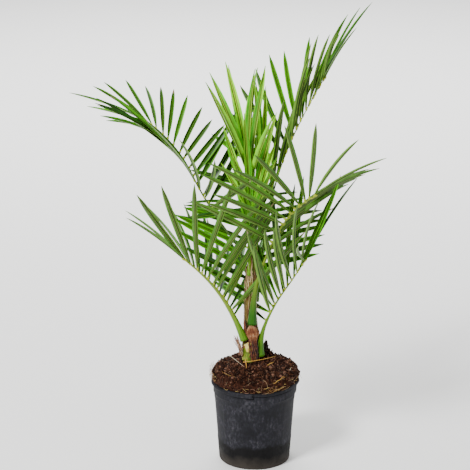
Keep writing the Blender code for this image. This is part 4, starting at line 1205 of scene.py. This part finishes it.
class Rib:
    """Centre line of a frond and the directions that its leaflets start from."""

    def __init__(self, frond):
        self.frond = frond
        self.points = [Vector(frond.root)]
        for i in range(RIB_STEPS):
            along = self.directions((i + 0.5) / RIB_STEPS)[0]
            self.points.append(self.points[-1] + along * (frond.length / RIB_STEPS))

    def directions(self, share):
        """Along the rib, to its left and out of its upper face."""
        heading = math.radians(blend(self.frond.heading, share))
        lift = math.radians(blend(self.frond.lift, share))
        along = polar(math.cos(lift), math.degrees(heading), math.sin(lift))
        left = Vector((-math.sin(heading), math.cos(heading), 0.0))
        turn = Matrix.Rotation(math.radians(self.frond.roll), 3, along)
        return along, turn @ left, turn @ along.cross(left)

    def point(self, share):
        """Place on the centre line."""
        place = clamp(share) * RIB_STEPS
        index = min(int(place), RIB_STEPS - 1)
        return self.points[index].lerp(self.points[index + 1], place - index)

    def flare(self, share):
        """One at the foot of the stalk, fading upward."""
        return math.exp(-share * self.frond.length / self.frond.flare)

    def half_width(self, share):
        """Half the rib's width, which tapers to its tip and widens at its foot."""
        slim = RIB_TIP_HALF_WIDTH + (RIB_HALF_WIDTH - RIB_TIP_HALF_WIDTH) * (1 - share) ** RIB_TAPER
        return slim + (self.frond.stalk / 2 - slim) * self.flare(share)

    def depth_share(self, share):
        """Depth for a width of one: the stalk's foot is nearly round."""
        return RIB_DEPTH_SHARE + (RIB_FOOT_DEPTH_SHARE - RIB_DEPTH_SHARE) * self.flare(share)

    def plan_shape(self, bm, grow=0.0):
        """The plain rib of the CAD part, which leaflets keep clear of."""
        rings = []
        for i in range(CAD_RIB_RINGS + 1):
            share = (i / CAD_RIB_RINGS) ** CAD_RIB_CROWDING
            _, left, up = self.directions(share)
            wide = self.half_width(share) + grow
            deep = self.half_width(share) * self.depth_share(share) + grow
            ring = []
            for k in range(CAD_RIB_SIDES):
                turn = 2 * math.pi * k / CAD_RIB_SIDES
                offset = left * (wide * math.cos(turn)) + up * (deep * math.sin(turn))
                ring.append(bm.verts.new(self.point(share) + offset))
            rings.append(ring)
        join_rings(bm, rings)
        bm.faces.new(rings[-1])


def join_rings(bm, rings):
    """Walls of a stack of rings, closed at its first ring."""
    for lower, upper in zip(rings, rings[1:]):
        for i in range(len(lower)):
            j = (i + 1) % len(lower)
            bm.faces.new((lower[i], lower[j], upper[j], upper[i]))
    bm.faces.new(list(reversed(rings[0])))


Leaflet = namedtuple("Leaflet", "base along across up length width")


def planned_leaflets(rib, name):
    """Every leaflet of a frond as (place on the rib, side, rank, share of the rank)."""
    frond = rib.frond
    planned = []
    for side, rank in ((1, frond.left), (-1, frond.right)):
        for i in range(rank.count):
            rank_share = (i + 0.5) / rank.count
            wander = LEAF_WANDER * math.sin(i * LEAF_WANDER_STEP + side + len(name)) + rank.shift
            place = min(max((i + 0.5 + wander) / rank.count, 0.0), LEAF_LAST_PLACE)
            share = frond.bare + (1 - frond.bare) * place ** rank.spread
            planned.append((share, side, rank, rank_share))
    return planned


def leaflet_at(rib, share, side, rank, rank_share, dodge):
    """A leaflet's own directions once it has turned by a dodge."""
    turn_out, turn_up, shorter = dodge
    along, left, up = rib.directions(share)
    out = math.radians(blend(rank.out, rank_share) + turn_out)
    rise = math.radians(blend(rank.rise, rank_share) + turn_up)
    sideways = left * (side * math.cos(rise)) + up * math.sin(rise)
    direction = along * math.cos(out) + sideways * math.sin(out)
    across = along * math.sin(out) - sideways * math.cos(out)
    normal = direction.cross(across) * -side
    length = blend(rank.length, rank_share) * shorter
    width = min(1.0, LEAF_SHORT_WIDTH + (1 - LEAF_SHORT_WIDTH) * length / LEAF_FULL_LENGTH)
    width *= 1 - rib.frond.narrow * rank_share ** 2
    return Leaflet(rib.point(share), direction, across, normal, length, rib.frond.blade * width)


def tip_leaflet(rib):
    """The last leaflet, which carries the rib's line on."""
    along, left, up = rib.directions(1.0)
    length = (rib.frond.left.length[-1] + rib.frond.right.length[-1]) / 2
    width = TIP_LEAF_WIDTH * (1 - rib.frond.narrow / 2)
    return Leaflet(rib.point(TIP_LEAF_SHARE), along, left, up, length, rib.frond.blade * width)


def plan_leaflet_shape(bm, leaflet, grow=0.0):
    """The plain leaflet of the CAD part, which other leaflets keep clear of."""
    rings = []
    for place, share in CAD_LEAF_OUTLINE:
        half = leaflet.width * share / 2
        thick = CAD_LEAF_THICKNESS / 2 + grow
        middle = leaflet.base + leaflet.along * (leaflet.length * place)
        middle += leaflet.up * (leaflet.length * LEAF_BOW * 4 * place * (1 - place))
        fold = leaflet.up * (-2 * half * LEAF_FOLD)
        corners = (middle + leaflet.across * (half + grow), middle + fold + leaflet.up * thick,
                   middle - leaflet.across * (half + grow), middle + fold - leaflet.up * thick)
        rings.append([bm.verts.new(corner) for corner in corners])
    join_rings(bm, rings)
    tip = bm.verts.new(leaflet.base + leaflet.along * (leaflet.length + grow))
    for i in range(4):
        bm.faces.new((rings[-1][i], rings[-1][(i + 1) % 4], tip))


def tree_of(build, grow=0.0):
    """Search tree of what a build function adds to a bmesh."""
    bm = bmesh.new()
    build(bm, grow)
    bmesh.ops.triangulate(bm, faces=bm.faces)
    tree = BVHTree.FromBMesh(bm)
    bm.free()
    return tree


def tree_of_node(name):
    """Search tree of a CAD node."""
    bm = bmesh.new()
    bm.from_mesh(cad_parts[name].data)
    tree = BVHTree.FromBMesh(bm)
    bm.free()
    return tree


def plan_leaflets(ribs):
    """Choose for every leaflet the first turn that keeps it clear of other bodies."""
    taken = [("", tree_of_node(name)) for name in ("stem", *WRAPS)]
    taken += [(name, tree_of(rib.plan_shape)) for name, rib in ribs.items()]
    plans = {}
    for name, rib in ribs.items():
        plan = []
        tip = tip_leaflet(rib)
        choices = [[tip, tip._replace(length=tip.length * TIP_LEAF_SHORTER)]]
        for planned in reversed(planned_leaflets(rib, name)):
            choices.append([leaflet_at(rib, *planned, dodge) for dodge in DODGES])
        others = [tree for owner, tree in taken if owner != name]
        for tries in choices:
            for leaflet in tries:
                tree = tree_of(lambda bm, grow: plan_leaflet_shape(bm, leaflet, grow), DODGE_MARGIN)
                if not any(tree.overlap(other) for other in others):
                    plan.append(leaflet)
                    taken.append((name, tree_of(lambda bm, grow: plan_leaflet_shape(bm, leaflet, grow))))
                    break
        plans[name] = plan
    return plans


def leaflet_template():
    """Blade across -1 to 1, along 0 to 1, with an under (0) and an upper (1) skin."""
    bm = bmesh.new()
    bmesh.ops.create_grid(bm, x_segments=LEAF_COLUMNS, y_segments=LEAF_ROWS, size=1.0)
    bmesh.ops.solidify(bm, geom=bm.faces[:], thickness=1.0)
    blade = template_of(bm)
    points = blade.points
    points[:, 1] = (points[:, 1] + 1) / 2
    points[:, 2] = (points[:, 2] - points[:, 2].min()) / np.ptp(points[:, 2])
    return blade


def leaf_outline(along, power):
    """Share of the full width at places along a leaflet."""
    rising = LEAF_FOOT + (1 - LEAF_FOOT) * np.sin(np.pi / 2 * np.clip(along / LEAF_WIDEST, 0, 1))
    falling = 1 - np.clip((along - LEAF_WIDEST) / (1 - LEAF_WIDEST), 0, 1) ** power
    return np.maximum(rising * falling, LEAF_POINT_WIDTH)


def add_leaflet(batch, blade, leaflet, looks, rng, shape):
    """Shape one folded blade and add it with its upper, under and dry materials."""
    upper, under, dry = looks
    fold, power = shape
    across, along, skin = blade.points.T
    half = leaflet.width / 2 * leaf_outline(along, power)
    clasp = 2 * fold + LEAF_CLASP * np.exp(-along / LEAF_CLASP_LENGTH)
    height = half * (clasp * (np.abs(across) ** 1.1 - 0.5))
    height += (skin - 0.5) * LEAF_THICKNESS * (1 - 0.5 * along)
    height -= (1 - skin) * LEAF_MIDRIB * np.exp(-(across / 0.16) ** 2) * (1 - along)
    twist = np.radians(rng.uniform(-LEAF_TWIST, LEAF_TWIST)) * along
    wide = half * across * (1 - 0.18 * np.exp(-along / LEAF_CLASP_LENGTH))
    sideways = wide * np.cos(twist) - height * np.sin(twist)
    raised = wide * np.sin(twist) + height * np.cos(twist)
    sway = leaflet.length * LEAF_SWAY * rng.uniform(-1, 1) * np.sin(np.pi * along)
    raised += leaflet.length * LEAF_BOW * 4 * along * (1 - along)
    points = np.array(leaflet.base)[None, :] + np.outer(along * leaflet.length, leaflet.along)
    points += np.outer(sideways + sway, leaflet.across) + np.outer(raised, leaflet.up)
    dry_from = 1.0 - max(rng.normal(0.0, 0.035), 0.0) if dry is not None else 2.0
    face_looks = []
    for face in blade.faces:
        middle = blade.points[face].mean(0)
        look = upper if middle[2] > 0.6 else under
        face_looks.append(dry if middle[1] > dry_from else look)
    batch.add(points, blade.faces, face_looks, np.stack([across * 0.5 + 0.5, along], 1))


def add_swelling(batch, bead, leaflet, look):
    """The small yellow cushion by which a leaflet joins the rib."""
    long, wide, deep = SWELLING
    x, y, z = bead.points.T
    points = np.array(leaflet.base + leaflet.along * (long * 0.55))[None, :]
    points = points + np.outer(x * long, leaflet.along)
    points += np.outer(y * wide, leaflet.across) + np.outer((z - 0.35) * deep, leaflet.up)
    batch.add(points, bead.faces, [look] * len(bead.faces), np.zeros((len(x), 2)))


def rib_points(rib, rod):
    """Grooved stalk: round below, flat above with a shallow channel."""
    points = np.empty_like(rod.points)
    for level in np.unique(rod.points[:, 2].round(6)):
        ring = np.abs(rod.points[:, 2] - level) < 1e-5
        _, left, up = (np.array(way) for way in rib.directions(level))
        wide = rib.half_width(level)
        x, y = rod.points[ring, 0], rod.points[ring, 1]
        foot = rib.flare(level)
        top = RIB_TOP_SHARE + (1 - RIB_TOP_SHARE) * foot
        groove = RIB_GROOVE * (1 - foot) * np.exp(-(x / 0.42) ** 2) * (y > 0) * top
        height = np.where(y > 0, y * top, y) - groove
        points[ring] = np.array(rib.point(level)) + np.outer(x * wide, left)
        points[ring] += np.outer(height * wide * rib.depth_share(level), up)
    return points


def make_frond(name, rib, plan, tools, rib_looks, leaf_looks):
    """Rib, cushions and leaflets of one frond in two joined pieces."""
    rod, blade, bead = tools
    rng = np.random.default_rng(SEED + len(name) * 31 + len(plan))
    young = name.startswith("frond_young")
    slot = "young_leaf_green" if young else "leaf_green"
    shape = (YOUNG_BLADE_FOLD, YOUNG_POINT_POWER) if young else (BLADE_FOLD, LEAF_POINT_POWER)
    stalk = Batch()
    places = np.stack([np.arctan2(rod.points[:, 1], rod.points[:, 0]) / math.pi, rod.points[:, 2]], 1)
    stalk.add(rib_points(rib, rod), rod.faces, [0] * len(rod.faces), places)
    leaves = Batch()
    for leaflet in plan:
        shade = int(rng.integers(0, BLADE_TONES))
        dry = None if young else BLADE_TONES + 1
        add_leaflet(leaves, blade, leaflet, (shade, BLADE_TONES, dry), rng, shape)
        if not young:
            add_swelling(stalk, bead, leaflet, 1)
    finish_piece(stalk.mesh(name + "_rib"), rib_looks, slot, name)
    finish_piece(leaves.mesh(name + "_leaflets", LEAF_CREASE), leaf_looks, slot, name)


def make_fronds():
    """Every frond in the greens of grown or of young leaves, with a stalk in its own tones."""
    ribs = {name: Rib(frond) for name, frond in FRONDS.items()}
    plans = plan_leaflets(ribs)
    bm = bmesh.new()
    bmesh.ops.create_icosphere(bm, subdivisions=2, radius=1.0)
    tools = thread_template(RIB_RINGS, RIB_SIDES), leaflet_template(), template_of(bm)
    cushion = rib_material("leaflet_cushion_waxy_yellow", CUSHION_TONES, CUSHION_TONES)
    dry = fibre_materials("leaf_tip_dried", {"papery": "#8a7d55"})[0]
    # the third colour of each leaf material is its pale midrib and painted highlight
    grown = [leaf_material("palm_leaf_waxy_green_" + shade, tones, "#6ca418", 0.36)
             for shade, tones in GROWN_TONES.items()]
    young = [leaf_material("young_palm_leaf_soft_green_" + shade, tones, "#cdee50", 0.37, 0.42)
             for shade, tones in YOUNG_TONES.items()]
    under = leaf_material("palm_leaf_underside_matt", ("#29500a", "#4c761f"), "#86a03c", 0.5)
    young_under = leaf_material(
        "young_palm_leaf_underside_matt", ("#458400", "#74a81a"), "#b0d040", 0.5)
    stalks = {name: rib_material(name.replace("frond", "leaf_stalk_smooth"), *tones)
              for name, tones in RIB_TONES.items()}
    young_stalk = rib_material("young_leaf_stalk_smooth", *YOUNG_RIB_TONES)
    for name, rib in ribs.items():
        is_young = name.startswith("frond_young")
        rib_looks = [stalks.get(name, young_stalk), cushion]
        leaf_looks = [*young, young_under, dry] if is_young else [*grown, under, dry]
        make_frond(name, rib, plans[name], tools, rib_looks, leaf_looks)


# Stage

def make_stage():
    """Plain pale floor that runs far past the picture."""
    bm = bmesh.new()
    bmesh.ops.create_grid(bm, x_segments=1, y_segments=1, size=FLOOR_HALF)
    bmesh.ops.translate(bm, verts=bm.verts, vec=(0, FLOOR_BACK, 0))
    floor = add_object("floor", mesh_of(bm, "floor"))
    made, _, shader, _, _ = new_material("studio_floor_matt_white")
    shader.inputs["Base Color"].default_value = linear("#fafaf9")
    shader.inputs["Roughness"].default_value = 0.9
    floor.data.materials.append(made)


def make_light():
    """Soft square lights in an even white sky."""
    for name, (place, target, width, power) in LIGHTS.items():
        lamp = bpy.data.lights.new(name, "AREA")
        lamp.energy = power
        lamp.size = width
        made = add_object(name, lamp)
        made.location = place
        made.rotation_euler = (Vector(target) - Vector(place)).to_track_quat("-Z", "Y").to_euler()
    world = bpy.data.worlds.new("studio")
    world.use_nodes = True
    sky = world.node_tree.nodes["Background"]
    sky.inputs["Color"].default_value = linear("#ffffff")
    sky.inputs["Strength"].default_value = SKY_STRENGTH
    bpy.context.scene.world = world


def make_camera():
    """The photograph's view, from its focal length in pixels."""
    lens = bpy.data.cameras.new("camera")
    lens.sensor_width = SENSOR_WIDTH
    lens.lens = FOCAL_PIXELS / PICTURE_PIXELS * SENSOR_WIDTH
    lens.clip_end = 60.0
    made = add_object("camera", lens)
    made.location = CAMERA_PLACE
    made.rotation_euler = (math.radians(90.0 - CAMERA_PITCH), 0.0, 0.0)
    bpy.context.scene.camera = made


def main():
    """Stage and plant."""
    make_camera()
    make_light()
    make_stage()
    make_pot()
    make_soil_body(peat_material("peat_coarse_damp", (
        (0.30, "#0d0402"), (0.72, "#603c2a"), (0.46, "#241109"), (0.58, "#402317")), 3.5 * MM))
    make_crumbs([
        peat_material("peat_crumb_dark", ((0.3, "#100603"), (0.7, "#2a150c")), 2 * MM),
        peat_material("peat_crumb_brown", ((0.3, "#301910"), (0.7, "#5e3b29")), 2 * MM),
        peat_material("bark_crumb_red_brown", ((0.3, "#4c2c1e"), (0.7, "#906a56")), 2 * MM)])
    make_fibres(fibre_materials("root_fibre", {
        "brown": "#5f4436", "tan": "#8a6c50", "pale": "#b09470", "dark": "#210b02"}))
    make_tufts(fibre_materials("tuft_fibre", {
        "golden": "#a8823a", "straw": "#c4a464", "brown": "#80583a", "pinkish": "#9a7662",
        "dark": "#2c150b"}))
    make_straws(fibre_materials("straw_dry", {
        "golden": "#d2a04a", "pale": "#d9cdb0", "orange": "#b98a2e"}, 0.5))
    stem_tree = tree_of_node("stem")
    make_stem(sheath_material("leaf_base_fibrous_brown", (
        (0.36, "#2c1509"), (0.64, "#b0965c"), (0.46, "#5c3a1a"), (0.55, "#77702c"))), stem_tree)
    for name, wrap in WRAPS.items():
        make_wrap(name, wrap, [sheath_material(*look) for look in WRAP_LOOKS[name]])
    make_stem_threads(fibre_materials("sheath_thread", {
        "brown": "#4a2c18", "rust": "#7d4f2c", "pale": "#c9b482"}), stem_tree)
    make_strips(fibre_materials("sheath_strip", {
        "tan": "#b08c70", "pale": "#c8ab90", "brown": "#7c4e36", "dark": "#2c150c",
        "black_brown": "#1c0d08", "red_brown": "#6e3420"}))
    make_fronds()


main()
